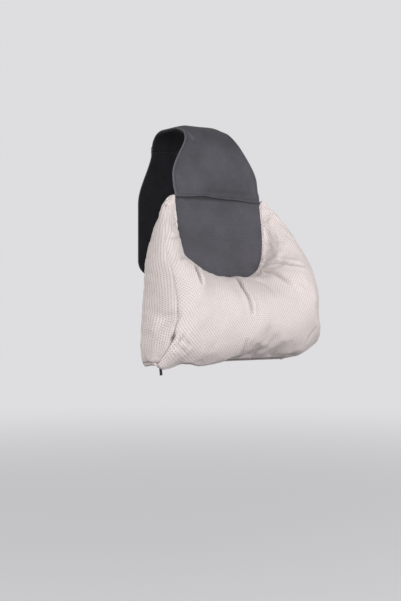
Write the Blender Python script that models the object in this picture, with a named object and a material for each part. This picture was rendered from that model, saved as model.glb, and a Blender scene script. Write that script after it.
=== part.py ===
"""Car neck pillow: a stuffed U-shaped pillow sewn to a leather panel that hangs over a headrest's crown.

The world is in metres: +X to the viewer's right, +Y to the back, +Z up. The origin is the middle of the
flat underside of the lining, where the strap rests on the crown. The front panel leans back by FRONT_LEAN,
and places on it are given as (u, w, n): across, up from the panel's seam, and out from the headrest.
"""
import math

import bmesh
import bpy
from mathutils import Vector

MM = 0.001

# Sheets and their running gap
GAP = 0.3 * MM
LEATHER = 1.6 * MM
LINING = 2.0 * MM
FABRIC = 1.8 * MM
BACK_FABRIC = 2.0 * MM
EDGE_GAP = 0.4 * MM

# The strap's side profile, on the underside of the lining
FRONT_LEAN = math.radians(9.0)
CROWN_FLAT = 28.0 * MM
FRONT_BEND = 42.0 * MM
REAR_BEND = 26.0 * MM
SEAM_DROP = 115.0 * MM
CROWN_DOME = 9.0 * MM
DOME_FLAT = 22.0 * MM
DOME_FADE = 70.0 * MM

# The leather panels seen from the front
PANEL_HALF = 80.0 * MM
PANEL_CLEARANCE = 1.0 * MM
CROWN_HALF = 44.0 * MM
TAPER_START = 31.0 * MM
TAPER_LENGTH = 84.0 * MM
SEAM_OVERLAP = 9.0 * MM
SEAM_STEP = 9.0 * MM
SEAM_INSET = 1.0 * MM
ROW_SPACING = 3.0 * MM
STEP_SPACING = 2.0 * MM

# The rear flap and its weight pocket
REAR_SEAM_DROP = 4.0 * MM
REAR_OVERLAP = 8.0 * MM
FLAP_LENGTH = 196.0 * MM
FLAP_HALF = 70.0 * MM
FLAP_CORNER = 22.0 * MM
FLAP_TAPER = 90.0 * MM
BAR_WIDTH = 18.0 * MM
BAR_LENGTH = 112.0 * MM
BAR_THICK = 5.0 * MM
BAR_COUNT = 4
BAR_EDGE = 0.8 * MM
POCKET_CORNER = 6.0 * MM
POCKET_EDGE = 0.8 * MM
POCKET_FLANGE = 10.0 * MM
FLANGE_CORNER = 9.6 * MM
POCKET_RISE = 30.0 * MM

# The pillow seen from the front, and its thickness
U_HALF = PANEL_HALF + PANEL_CLEARANCE
U_DEPTH = 121.0 * MM
U_POWER = 3.8
PILLOW_HALF = 157.0 * MM
PILLOW_DROP = 245.0 * MM
PILLOW_DEPTH = 77.0 * MM
SIDE_FOOT = 5.0 * MM
FOOT_LIMIT = 0.25
INSET_LIMIT = 0.3
STUFFING_GAP = 2.8 * MM
STUFFING_FIRST = 0.06
STUFFING_EDGE = 0.02
INNER_POWER = 2.1
SIDE_POWER = 3.2
BOTTOM_POWER = 2.5
CORNER_SOFTEN = 1.2
CORNER_AT = 0.71
CORNER_SPAN = 0.16
PANEL_SEAM = 0.73
SIDE_LEAN = 19.0 * MM
RIGHT_LIFT = 19.0 * MM
RIGHT_INSET = 5.0 * MM
RIGHT_LOW = 0.55
RIGHT_START = 100.0 * MM
BELLY = 18.0 * MM
BELLY_SPAN = 110.0 * MM
BELLY_PAST = 20.0 * MM

# Loft stations from the left horn's tip to the lower corner: share of the half loft, share of the half U,
# side reach and drop as shares of the room beside and below the U, and share of the pillow's depth
STATIONS = (
    (0.00, 0.00, 0.055, -0.016, 0.12),
    (0.04, 0.03, 0.17, 0.008, 0.15),
    (0.10, 0.10, 0.33, 0.072, 0.19),
    (0.18, 0.22, 0.52, 0.168, 0.32),
    (0.26, 0.36, 0.66, 0.272, 0.50),
    (0.34, 0.48, 0.77, 0.392, 0.68),
    (0.45, 0.57, 0.86, 0.560, 0.89),
    (0.56, 0.64, 0.93, 0.728, 1.00),
    (0.66, 0.69, 0.99, 0.880, 1.00),
    (0.71, 0.72, 0.99, 0.955, 1.00),
    (0.74, 0.75, 0.93, 0.997, 1.00),
    (0.77, 0.78, 0.80, 1.000, 1.00),
)
LOFT_ROWS = 36
COVER_COLUMNS = 15
END_COLUMNS = 5
STUFFING_ROWS = 22
STUFFING_SPREAD = 2.2
STUFFING_COLUMNS = 10
END_ROWS = 26
SEAM_TURN = 0.63
BOTTOM_START = 0.60
BOTTOM_FULL = 0.85
FOOT_START = 0.66
FOOT_FULL = 0.75

# Folds in the front: points (across, up from the seam), half-width and depth
FOLDS = (
    (((-66, -104), (-74, -122)), 5.0, 5.0),
    (((-8, -126), (8, -140), (20, -165), (26, -190)), 6.0, 5.0),
    (((72, -96), (104, -98), (128, -104)), 5.0, 4.5),
    (((66, -106), (88, -112), (104, -124)), 5.0, 4.5),
    (((86, -40), (93, -28), (101, -20)), 4.0, 2.5),
)

# The zip in the underside, beside the back
BASE = BACK_FABRIC + GAP
ZIP_INSET = 13.0 * MM
ZIP_CLEAR = 10.0 * MM
ZIP_LEFT = -(PILLOW_HALF - ZIP_INSET)
ZIP_RIGHT = RIGHT_START - ZIP_CLEAR
TAPE = 0.8 * MM
TAPE_FRONT_WIDTH = 13.0 * MM
COIL = 2.2 * MM
COIL_THICK = 1.7 * MM
ZIP_SLIT = 1.2 * MM
SLIDER_LENGTH = 9.0 * MM
SLIDER_PLATE = 0.8 * MM
SLIDER_WALL = 0.8 * MM
SLIDER_WEB = ZIP_SLIT - 2 * GAP
SLIDER_WIDTH = ZIP_SLIT + 2 * (COIL + GAP + SLIDER_WALL)
ZIP_REAR_ROOM = 4.3 * MM
ZIP_FRONT_ROOM = 2.6 * MM
ZIP_CENTRE = BASE + ZIP_REAR_ROOM + SLIDER_WIDTH / 2
ZIP_OPENING = ZIP_CENTRE + SLIDER_WIDTH / 2 + ZIP_FRONT_ROOM
ZIP_HEM = 2.9 * MM
ZIP_FOOT = ZIP_CENTRE + ZIP_SLIT / 2 + TAPE_FRONT_WIDTH + ZIP_HEM
STOP_LENGTH = 3.0 * MM
STOP_LIP = 0.4 * MM
PULL_LENGTH = 14.0 * MM
PULL_THICK = 1.2 * MM
PULL_BAR = 1.0 * MM
PULL_WALL = 1.5 * MM
PULL_GAP = 0.5 * MM
PULL_PLAY = 1.2 * MM
BAIL_WIRE = 1.2 * MM
BAIL_ROOM = PULL_BAR + 2 * PULL_GAP
BAIL_HALF = PULL_THICK / 2 + PULL_PLAY + BAIL_WIRE
BAIL_SINK = 0.3 * MM
RECESS_ROOM = 1.0 * MM
RECESS_MARGIN = 6.0 * MM
CUT_PAST = 2.0 * MM

COLOURS = {
    "fabric": ((0.74, 0.67, 0.65), 0.95, 0.0),
    "leather": ((0.09, 0.09, 0.11), 0.55, 0.0),
    "suede": ((0.055, 0.055, 0.06), 0.95, 0.0),
    "filling": ((0.8, 0.79, 0.76), 0.95, 0.0),
    "tape": ((0.66, 0.6, 0.58), 0.9, 0.0),
    "coil": ((0.7, 0.64, 0.62), 0.5, 0.0),
    "black_metal": ((0.02, 0.02, 0.022), 0.4, 0.8),
    "steel": ((0.5, 0.5, 0.5), 0.4, 1.0),
}


def ease(x):
    """A smooth step from 0 to 1."""
    x = min(max(x, 0.0), 1.0)
    return x * x * (3.0 - 2.0 * x)


# The strap's path: s runs along the lining's underside from the crown's middle, forward positive
FRONT_TURN = math.pi / 2 - FRONT_LEAN
BEND_DROP = FRONT_BEND * (1.0 - math.cos(FRONT_TURN))
FRONT_START = CROWN_FLAT / 2 + FRONT_BEND * FRONT_TURN
SEAM_AT = FRONT_START + (SEAM_DROP - BEND_DROP) / math.cos(FRONT_LEAN)
REAR_START = -(CROWN_FLAT / 2 + REAR_BEND * math.pi / 2)
REAR_SEAM_AT = REAR_START - REAR_SEAM_DROP
FLAP_END = REAR_SEAM_AT - FLAP_LENGTH


def strap_station(s):
    """The underside's point and its outward normal, both as (y, z)."""
    side = -1.0 if s > 0 else 1.0
    bend, turn = (FRONT_BEND, FRONT_TURN) if s > 0 else (REAR_BEND, math.pi / 2)
    run = abs(s)
    if run <= CROWN_FLAT / 2:
        return (side * run, 0.0), (0.0, 1.0)
    angle = min((run - CROWN_FLAT / 2) / bend, turn)
    rest = run - CROWN_FLAT / 2 - bend * angle
    y = CROWN_FLAT / 2 + bend * math.sin(angle) + rest * math.cos(angle)
    z = -bend * (1.0 - math.cos(angle)) - rest * math.sin(angle)
    return (side * y, z), (side * math.sin(angle), math.cos(angle))


def on_strap(x, s, lift):
    """A point on the strap: across, along, and lifted off. The crown drops a little at its sides."""
    (y, z), (ny, nz) = strap_station(s)
    past = max(abs(x) - DOME_FLAT, 0.0) / (CROWN_HALF - DOME_FLAT)
    fade = 1.0 - ease((abs(s) - CROWN_FLAT / 2) / DOME_FADE)
    drop = CROWN_DOME * min(past, 2.0) ** 2 / (1.0 + 0.5 * past * past) * fade
    return Vector((x, y + ny * lift, z + nz * lift - drop))


SEAM_YZ = strap_station(SEAM_AT)[0]
UP = Vector((0.0, math.sin(FRONT_LEAN), math.cos(FRONT_LEAN)))
OUT = Vector((0.0, -math.cos(FRONT_LEAN), math.sin(FRONT_LEAN)))


def on_front(u, w, n):
    """A point of the leaning front: across, up from the seam, and out from the headrest."""
    return Vector((u, SEAM_YZ[0], SEAM_YZ[1])) + UP * w + OUT * n


def panel_half(s):
    """The leather's half-width along the strap, from the seam over the crown and down the rear."""
    front = ease((SEAM_AT - s - TAPER_START) / TAPER_LENGTH)
    rear = ease((REAR_START - s) / FLAP_TAPER)
    return CROWN_HALF + (PANEL_HALF - CROWN_HALF) * (1.0 - front) + (FLAP_HALF - CROWN_HALF) * rear


def round_end(half, left, radius):
    """A half-width with its corner rounded, left metres before the sheet's end."""
    if left >= radius:
        return half
    return half - radius + math.sqrt(max(radius ** 2 - (radius - left) ** 2, 0.0))


# The pillow's outlines
def spline(points, x):
    """A smooth curve through rows of numbers, read at x along their first column."""
    last = len(points) - 1
    i = max(k for k in range(last) if points[k][0] <= x or k == 0)
    p0, p1, p2, p3 = (points[min(max(i + k, 0), last)] for k in (-1, 0, 1, 2))
    t = (x - p1[0]) / (p2[0] - p1[0])
    out = []
    for a, b, c, d in zip(p0, p1, p2, p3):
        square = 2 * a - 5 * b + 4 * c - d
        cube = 3 * b - a - 3 * c + d
        out.append(0.5 * (2 * b + (c - a) * t + square * t * t + cube * t ** 3))
    return out


def u_curve():
    """The left half of the U, as points evenly spaced by length, from the horn's tip to the middle."""
    fine = []
    for k in range(401):
        angle = math.pi / 2 * k / 400
        fine.append((U_HALF * math.cos(angle) ** (2 / U_POWER), U_DEPTH * math.sin(angle) ** (2 / U_POWER)))
    runs = [0.0]
    for a, b in zip(fine, fine[1:]):
        runs.append(runs[-1] + math.dist(a, b))
    return [(run / runs[-1], -u, -w) for run, (u, w) in zip(runs, fine)]


U_CURVE = u_curve()


def on_u(share):
    """The U's point (u, w) on its left half, at a share of its length."""
    for a, b in zip(U_CURVE, U_CURVE[1:]):
        if b[0] >= share:
            t = (share - a[0]) / (b[0] - a[0])
            return a[1] + (b[1] - a[1]) * t, a[2] + (b[2] - a[2]) * t
    return U_CURVE[-1][1], U_CURVE[-1][2]


def loft_row(f):
    """One row across the pillow: its inner and outer points and its depth. f is 0 at the left tip."""
    share = min(f, 1.0 - f) * 2.0
    side = 1.0 if f > 0.5 else -1.0
    corner = STATIONS[-1]
    if share <= corner[0]:
        _, inner, reach, drop, deep = spline(STATIONS, share)
        u, w = U_HALF + reach * (PILLOW_HALF - U_HALF), -drop * PILLOW_DROP
    else:
        along = (share - corner[0]) / (1.0 - corner[0])
        inner = corner[1] + (1.0 - corner[1]) * along
        u, w = (U_HALF + corner[2] * (PILLOW_HALF - U_HALF)) * (1.0 - along), -PILLOW_DROP
        deep = 1.0
    if f > 0.5:
        low = ease((-w / PILLOW_DROP - RIGHT_LOW) / (1.0 - RIGHT_LOW))
        w += RIGHT_LIFT * ease((u - RIGHT_START) / (PILLOW_HALF - RIGHT_START)) * ease(-w / PILLOW_DROP)
        u *= 1.0 - RIGHT_INSET / PILLOW_HALF * low
    a, b = on_u(min(inner, 1.0))
    return (-side * a, b), (side * u, w), deep * PILLOW_DEPTH


def fold_depth(u, w, spread=1.0):
    """How far the folds draw the front in at a place. The stuffing follows them more widely."""
    total = 0.0
    for points, width, depth in FOLDS:
        near = min(
            segment_distance((u / MM, w / MM), a, b)
            for a, b in zip(points, points[1:])
        )
        total += depth * math.exp(-(near / width / spread) ** 2)
    return total * MM


def segment_distance(p, a, b):
    """The distance from p to the segment a to b."""
    ab = (b[0] - a[0], b[1] - a[1])
    t = ((p[0] - a[0]) * ab[0] + (p[1] - a[1]) * ab[1]) / (ab[0] ** 2 + ab[1] ** 2)
    t = min(max(t, 0.0), 1.0)
    return math.dist(p, (a[0] + ab[0] * t, a[1] + ab[1] * t))


def pillow_point(f, t, depth, spread=1.0):
    """A point of the pillow's skin. t runs from the U's edge (0) over the front to the outer edge (1)."""
    (iu, iw), (ou, ow), deep = loft_row(f)
    width = math.dist((iu, iw), (ou, ow))
    depth = min(depth, INSET_LIMIT * width)
    share = min(f, 1.0 - f) * 2.0
    bottom = ease((share - BOTTOM_START) / (BOTTOM_FULL - BOTTOM_START))
    foot = SIDE_FOOT + (ZIP_FOOT - SIDE_FOOT) * ease((share - FOOT_START) / (FOOT_FULL - FOOT_START))
    foot = min(foot, FOOT_LIMIT * deep)
    turn = 1.0 - 1.0 / COVER_COLUMNS
    corner = math.exp(-((share - CORNER_AT) / CORNER_SPAN) ** 2)
    outer_power = SIDE_POWER + (BOTTOM_POWER - SIDE_POWER) * bottom - CORNER_SOFTEN * corner
    power = INNER_POWER if t < 0.5 else outer_power
    angle = math.pi * (t if t < 0.5 else 0.5 + 0.5 * min((t - 0.5) / (turn - 0.5), 1.0))
    side = abs(math.cos(angle)) ** (2 / power)
    across = 0.5 - 0.5 * side if t < 0.5 else 0.5 + 0.5 * side
    high = max(math.sin(angle), 0.0) ** (2 / power)
    r = (depth + (width - 2 * depth) * across) / width
    u, w = iu + (ou - iu) * r, iw + (ow - iw) * r
    lean = SIDE_LEAN * deep / PILLOW_DEPTH * (1.0 - bottom) * r * high
    u += lean if ou < 0 else -lean
    w -= BELLY * ease((BELLY_PAST - u) / BELLY_SPAN) * bottom * r ** 4 * math.sin(math.pi * high)
    floor = BASE if t < 0.5 else BASE + foot * min((1.0 - t) / (1.0 - turn), 1.0)
    n = floor + (deep - floor - depth) * high - fold_depth(u, w, spread) * high
    return on_front(u, w, n)


def panel_seam(f):
    """Where the front's seam with an end panel lies across the skin."""
    share = min(f, 1.0 - f) * 2.0
    stop = (END_ROWS + 1) / LOFT_ROWS
    return PANEL_SEAM + (1.0 - PANEL_SEAM) * ease((share - SEAM_TURN) / (stop - SEAM_TURN))


def seam_half_gap(f):
    """Half of the gap along that seam, as a share of the way across the skin."""
    t = panel_seam(f)
    step = 0.02
    span = (pillow_point(f, min(t + step, 1.0), 0.0) - pillow_point(f, t - step, 0.0)).length
    return EDGE_GAP / 2 * (min(t + step, 1.0) - t + step) / max(span, 0.1 * MM)


# Materials and mesh helpers
def material(slot):
    """The slot's Principled material, made once."""
    found = bpy.data.materials.get(slot)
    if found:
        return found
    colour, roughness, metallic = COLOURS[slot]
    made = bpy.data.materials.new(slot)
    made.use_nodes = True
    shader = made.node_tree.nodes["Principled BSDF"]
    shader.inputs["Base Color"].default_value = (*colour, 1.0)
    shader.inputs["Roughness"].default_value = roughness
    shader.inputs["Metallic"].default_value = metallic
    return made


def finish(name, bm, slot, smooth=False):
    """Turns a bmesh into the scene's object, with its faces pointing out."""
    bm.normal_update()
    bmesh.ops.recalc_face_normals(bm, faces=bm.faces)
    mesh = bpy.data.meshes.new(name)
    bm.to_mesh(mesh)
    bm.free()
    if smooth:
        mesh.shade_smooth()
        mesh.set_sharp_from_angle(angle=math.radians(40))
    mesh.materials.append(material(slot))
    made = bpy.data.objects.new(name, mesh)
    bpy.context.scene.collection.objects.link(made)
    return made


def thick_sheet(name, columns, rows, place, slot):
    """A closed sheet: place(a, b, side) gives its points for a across, b along, and side 0 under or 1 over."""
    bm = bmesh.new()
    bmesh.ops.create_grid(bm, x_segments=columns, y_segments=rows, size=0.5)
    under = list(bm.verts)
    shares = [(v.co.x + 0.5, v.co.y + 0.5) for v in under]
    copied = bmesh.ops.duplicate(bm, geom=bm.verts[:] + bm.edges[:] + bm.faces[:])
    over = [copied["vert_map"][v] for v in under]
    for high in over:
        high.co.z += 1.0
    bmesh.ops.bridge_loops(bm, edges=[e for e in bm.edges if e.is_boundary])
    for (a, b), low, high in zip(shares, under, over):
        low.co = place(a, b, 0)
        high.co = place(a, b, 1)
    return finish(name, bm, slot, smooth=True)


def prism(name, outline, low, high, slot, place):
    """A closed prism over an outline of (a, b) points, from low to high, through place(a, b, c)."""
    bm = bmesh.new()
    floor = bm.faces.new([bm.verts.new((a, b, low)) for a, b in outline])
    raised = bmesh.ops.extrude_face_region(bm, geom=[floor])
    for v in raised["geom"]:
        if isinstance(v, bmesh.types.BMVert):
            v.co.z = high
    for v in bm.verts:
        v.co = place(*v.co)
    return finish(name, bm, slot)


def rectangle(a0, a1, b0, b1, radius=0.0, steps=5):
    """A rectangle's outline, with rounded corners when a radius is given."""
    if radius <= 0.0:
        return [(a0, b0), (a1, b0), (a1, b1), (a0, b1)]
    points = []
    for ca, cb, start in ((a1, b0, -90), (a1, b1, 0), (a0, b1, 90), (a0, b0, 180)):
        ca += -radius if ca == a1 else radius
        cb += -radius if cb == b1 else radius
        for k in range(steps + 1):
            angle = math.radians(start + 90 * k / steps)
            points.append((ca + radius * math.cos(angle), cb + radius * math.sin(angle)))
    return points


def bevel_edges(made, width, segments=2):
    """Rounds an object's sharp edges with a Bevel modifier."""
    bevel = made.modifiers.new("rounded_edges", "BEVEL")
    bevel.width = width
    bevel.segments = segments
    bevel.limit_method = "ANGLE"
    bevel.angle_limit = math.radians(50)


def join_shape(made, tool, operation):
    """Adds or cuts another object's shape with an exact Boolean, and hides that object."""
    boolean = made.modifiers.new(tool.name, "BOOLEAN")
    boolean.operation = operation
    boolean.solver = "EXACT"
    boolean.object = tool
    tool.hide_render = True
    tool.display_type = "WIRE"


# The leather and its lining
def strap_rows(start, stop, count):
    """Distances along the strap, closer together round its bends."""
    marks = [start, stop]
    bends = ((CROWN_FLAT / 2, FRONT_START), (REAR_START, -CROWN_FLAT / 2))
    for low, high in bends:
        marks += [low + (high - low) * k / 7 for k in range(8)]
    marks += [start + (stop - start) * k / count for k in range(count + 1)]
    marks = sorted(m for m in marks if min(start, stop) <= m <= max(start, stop))
    kept = [marks[0]]
    for mark in marks[1:-1]:
        if mark - kept[-1] > ROW_SPACING and marks[-1] - mark > ROW_SPACING:
            kept.append(mark)
    return kept + [marks[-1]]


def strap_sheet(name, stations, columns, half, lift, thickness, slot):
    """A sheet bent along the strap, with its half-width and its lift given along it."""
    last = len(stations) - 1

    def place(a, b, side):
        s = stations[round(b * last)]
        return on_strap((2 * a - 1) * half(s), s, lift(s) + side * thickness)

    return thick_sheet(name, columns, last, place, slot)


LEATHER_LIFT = LINING + GAP
LAP = LEATHER + GAP


def u_half_below(drop):
    """The U's half-width at a depth below the seam."""
    share = min(max(drop / U_DEPTH, 0.0), 1.0)
    return U_HALF * max(1.0 - share ** U_POWER, 0.0) ** (1 / U_POWER)


def u_rows(clearance):
    """Rows down the front to the U's bottom, closer together round its corners."""
    depth = U_DEPTH - clearance
    shares = (0.0, 0.25, 0.45, 0.6, 0.72, 0.81, 0.875, 0.92, 0.95, 0.97, 0.985, 0.995)
    return [SEAM_AT + depth * share for share in shares]


def make_leather():
    lining_rows = strap_rows(REAR_SEAM_AT, SEAM_AT, 20)[:-1] + u_rows(EDGE_GAP)
    leather_rows = strap_rows(REAR_SEAM_AT, SEAM_AT, 20)
    rear_rows = strap_rows(FLAP_END + FLAP_CORNER, REAR_SEAM_AT + REAR_OVERLAP, 8)
    corner_rows = [FLAP_END + FLAP_CORNER * (1.0 - math.cos(math.pi / 2 * k / 6)) for k in range(6)]

    def lining_half(s):
        if s < SEAM_AT:
            return panel_half(s)
        return u_half_below((s - SEAM_AT) * U_DEPTH / (U_DEPTH - EDGE_GAP)) - 2 * EDGE_GAP

    def bib_half(s):
        return lining_half(s) if s > SEAM_AT else PANEL_HALF - EDGE_GAP

    def over_bib(s):
        return LEATHER_LIFT + LAP * ease((s - SEAM_AT + SEAM_OVERLAP + SEAM_STEP) / SEAM_STEP)

    def over_crown(s):
        return LEATHER_LIFT + LAP * ease((s - REAR_SEAM_AT + SEAM_STEP) / SEAM_STEP)

    def flap_half(s):
        return round_end(panel_half(s), s - FLAP_END, FLAP_CORNER)

    strap_sheet("panel_lining", lining_rows, 8, lining_half, lambda s: 0.0, LINING, "suede")
    bib_rows = [SEAM_AT - SEAM_OVERLAP] + u_rows(EDGE_GAP)
    strap_sheet("lower_front_panel", bib_rows, 4, bib_half, lambda s: LEATHER_LIFT, LEATHER, "leather")
    steps = [SEAM_AT - SEAM_OVERLAP - SEAM_STEP * (1 - k / 4) for k in range(5)]
    top_rows = [s for s in leather_rows if s < steps[0] - STEP_SPACING] + steps + [SEAM_AT - SEAM_INSET]
    strap_sheet("top_panel", top_rows, 8, panel_half, over_bib, LEATHER, "leather")
    rear_steps = [REAR_SEAM_AT - SEAM_STEP * (1 - k / 4) for k in range(5)]
    flap_rows = corner_rows + [s for s in rear_rows if s < rear_steps[0] - STEP_SPACING] + rear_steps
    flap_rows += [REAR_SEAM_AT + REAR_OVERLAP]
    strap_sheet("rear_flap", flap_rows, 4, flap_half, over_crown, LEATHER, "leather")
    lining_low = corner_rows + [s for s in rear_rows if s < REAR_SEAM_AT - STEP_SPACING]
    lining_low += [REAR_SEAM_AT - EDGE_GAP]
    strap_sheet("rear_lining", lining_low, 4, flap_half, lambda s: 0.0, LINING, "suede")


# The pillow: cover, end panels, back and stuffing
def make_pillow():
    rows = 2 * LOFT_ROWS

    def cover_end(f):
        row = round(min(f, 1.0 - f) * 2.0 * LOFT_ROWS)
        return panel_seam(f) - seam_half_gap(f) if row <= END_ROWS else 1.0

    def cover_place(a, b, side):
        return pillow_point(b, a * cover_end(b), FABRIC * (1 - side))

    cover = thick_sheet("front_cover", COVER_COLUMNS, rows, cover_place, "fabric")

    for name, flip in (("end_panel_left", False), ("end_panel_right", True)):
        def end_place(a, b, side, flip=flip):
            f = b * END_ROWS / LOFT_ROWS / 2
            f = 1.0 - f if flip else f
            start = panel_seam(f) + seam_half_gap(f)
            return pillow_point(f, start + (1.0 - start) * a, FABRIC * (1 - side))

        thick_sheet(name, END_COLUMNS, END_ROWS, end_place, "fabric")

    def back_place(a, b, side):
        (iu, iw), (ou, ow), _ = loft_row(b)
        return on_front(iu + (ou - iu) * a, iw + (ow - iw) * a, BACK_FABRIC * side)

    thick_sheet("back_cover", 3, rows, back_place, "fabric")

    margin = FABRIC + STUFFING_GAP

    def stuffing_place(a, b, side):
        f = STUFFING_FIRST / 2 + (1.0 - STUFFING_FIRST) * b
        skin = pillow_point(f, STUFFING_EDGE + (1.0 - 2 * STUFFING_EDGE) * a, margin, STUFFING_SPREAD)
        if side == 1:
            return skin
        edges = [pillow_point(f, t, margin) for t in (STUFFING_EDGE, 1.0 - STUFFING_EDGE)]
        flat = [edge - OUT * ((edge - on_front(0, 0, BASE)).dot(OUT)) for edge in edges]
        return flat[0].lerp(flat[1], a)

    rows = 2 * STUFFING_ROWS
    stuffing = thick_sheet("inner_pillow", STUFFING_COLUMNS, rows, stuffing_place, "filling")
    return cover, stuffing


def front_box(name, u0, u1, w0, w1, n0, n1, slot):
    """A block square to the leaning front."""
    return prism(name, rectangle(u0, u1, n0, n1), w0, w1, slot, lambda a, b, c: on_front(a, c, b))


def make_zip(cover, stuffing):
    outside = -PILLOW_DROP
    inside = outside + FABRIC
    tape_low = inside + GAP
    tape_high = tape_low + TAPE
    coil_high = tape_low - GAP
    coil_low = coil_high - COIL_THICK
    below = outside - RECESS_MARGIN
    front_edge = ZIP_CENTRE + ZIP_SLIT / 2
    rear_edge = ZIP_CENTRE - ZIP_SLIT / 2
    tape_front = front_edge + TAPE_FRONT_WIDTH
    slot = front_box("zip_slot", ZIP_LEFT, ZIP_RIGHT, below, inside + CUT_PAST, -CUT_PAST, ZIP_OPENING, "tape")
    join_shape(cover, slot, "DIFFERENCE")
    inner_plate_low = tape_high + GAP
    inner_plate_high = inner_plate_low + SLIDER_PLATE
    recess = front_box("zip_recess", ZIP_LEFT - RECESS_MARGIN, ZIP_RIGHT + RECESS_MARGIN, below,
                       inner_plate_high + RECESS_ROOM, -CUT_PAST, tape_front + CUT_PAST, "tape")
    join_shape(stuffing, recess, "DIFFERENCE")
    start, stop = ZIP_LEFT + EDGE_GAP, ZIP_RIGHT - EDGE_GAP
    front_box("zip_tape_front", start, stop, tape_low, tape_high, front_edge, tape_front, "tape")
    front_box("zip_tape_rear", start, stop, tape_low, tape_high, BASE, rear_edge, "tape")
    first, last = start + STOP_LENGTH + GAP, stop - STOP_LENGTH - GAP
    front_box("zip_coil_front", first, last, coil_low, coil_high, front_edge, front_edge + COIL, "coil")
    front_box("zip_coil_rear", first, last, coil_low, coil_high, rear_edge - COIL, rear_edge, "coil")
    for name, low in (("zip_stop_left", start), ("zip_stop_right", stop - STOP_LENGTH)):
        front_box(name, low, low + STOP_LENGTH, coil_low - STOP_LIP, coil_high, rear_edge - COIL,
                  front_edge + COIL, "black_metal")

    def across_zip(n, w, u):
        return on_front(u, w, ZIP_CENTRE + n)

    rest = first + GAP + SLIDER_LENGTH / 2
    outer_high = coil_low - GAP
    outer_low = outer_high - SLIDER_PLATE
    half = SLIDER_WIDTH / 2
    web = SLIDER_WEB / 2
    wall_top = tape_low - GAP
    inner_half = half - SLIDER_WALL
    profile = [
        (-half, outer_low), (half, outer_low), (half, wall_top), (inner_half, wall_top),
        (inner_half, outer_high), (web, outer_high), (web, inner_plate_low), (half, inner_plate_low),
        (half, inner_plate_high), (-half, inner_plate_high), (-half, inner_plate_low),
        (-web, inner_plate_low), (-web, outer_high), (-inner_half, outer_high), (-inner_half, wall_top),
        (-half, wall_top),
    ]
    slider = prism("zip_slider", profile, rest - SLIDER_LENGTH / 2, rest + SLIDER_LENGTH / 2, "black_metal",
                   across_zip)
    top = outer_low + BAIL_SINK
    shoulder = outer_low - BAIL_ROOM
    inner = BAIL_HALF - BAIL_WIRE
    arch = [
        (-BAIL_HALF, top), (-BAIL_HALF, shoulder), (-inner, shoulder - BAIL_WIRE),
        (inner, shoulder - BAIL_WIRE), (BAIL_HALF, shoulder), (BAIL_HALF, top),
        (inner, top), (inner, shoulder), (-inner, shoulder), (-inner, top),
    ]
    bail = prism("zip_bail", arch, ZIP_CENTRE - BAIL_WIRE / 2, ZIP_CENTRE + BAIL_WIRE / 2, "black_metal",
                 lambda u, w, n: on_front(rest + u, w, n))
    join_shape(slider, bail, "UNION")

    pivot = outer_low - BAIL_ROOM / 2
    eye = BAIL_WIRE / 2 + PULL_GAP
    tab_top = pivot - math.hypot(BAIL_HALF, BAIL_ROOM / 2) - PULL_GAP
    bar = PULL_BAR / 2
    outline = rectangle(-eye - PULL_WALL, eye + PULL_WALL, pivot - PULL_LENGTH, pivot + bar)
    pull = prism("zip_pull", outline, rest - PULL_THICK / 2, rest + PULL_THICK / 2, "black_metal", across_zip)
    window = prism("pull_window", rectangle(-eye, eye, tab_top, pivot - bar), rest - PULL_THICK,
                   rest + PULL_THICK, "black_metal", across_zip)
    join_shape(pull, window, "DIFFERENCE")


# The counterweight in its pocket on the rear flap
def make_weights():
    rear_y = CROWN_FLAT / 2 + REAR_BEND
    flap_face = rear_y + LEATHER_LIFT + LEATHER
    room_half = (BAR_COUNT * BAR_WIDTH + (BAR_COUNT - 1) * GAP) / 2 + GAP
    flap_low = strap_station(FLAP_END)[0][1]
    room_low = flap_low + POCKET_RISE
    room_high = room_low + BAR_LENGTH + 2 * GAP
    room_depth = BAR_THICK + 2 * GAP

    def upright(a, b, c):
        return Vector((a, c, b))

    def around_room(margin, corner):
        return rectangle(-room_half - margin, room_half + margin, room_low - margin, room_high + margin, corner)

    low = flap_face + GAP
    block = prism("pocket_block", around_room(LEATHER, POCKET_CORNER), low, low + room_depth + LEATHER,
                  "leather", upright)
    bevel_edges(block, POCKET_EDGE)
    pocket = prism("weight_pocket", around_room(LEATHER + POCKET_FLANGE, FLANGE_CORNER), low, low + LEATHER,
                   "leather", upright)
    room = prism("pocket_room", around_room(0.0, 0.0), flap_face - CUT_PAST, flap_face + room_depth,
                 "leather", upright)
    join_shape(pocket, block, "UNION")
    join_shape(pocket, room, "DIFFERENCE")
    bar_low = room_low + GAP
    for k in range(BAR_COUNT):
        left = -room_half + GAP + k * (BAR_WIDTH + GAP)
        outline = rectangle(left, left + BAR_WIDTH, bar_low, bar_low + BAR_LENGTH)
        bar = prism(f"weight_bar_{k + 1}", outline, low, low + BAR_THICK, "steel", upright)
        bevel_edges(bar, BAR_EDGE, 1)


def build():
    for old in list(bpy.data.objects):
        bpy.data.objects.remove(old)
    make_leather()
    cover, stuffing = make_pillow()
    make_zip(cover, stuffing)
    make_weights()


build()
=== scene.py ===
import math

import bmesh
import bpy
import numpy as np
from mathutils import Matrix, Vector, noise
from mathutils.bvhtree import BVHTree
from mathutils.kdtree import KDTree


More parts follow.
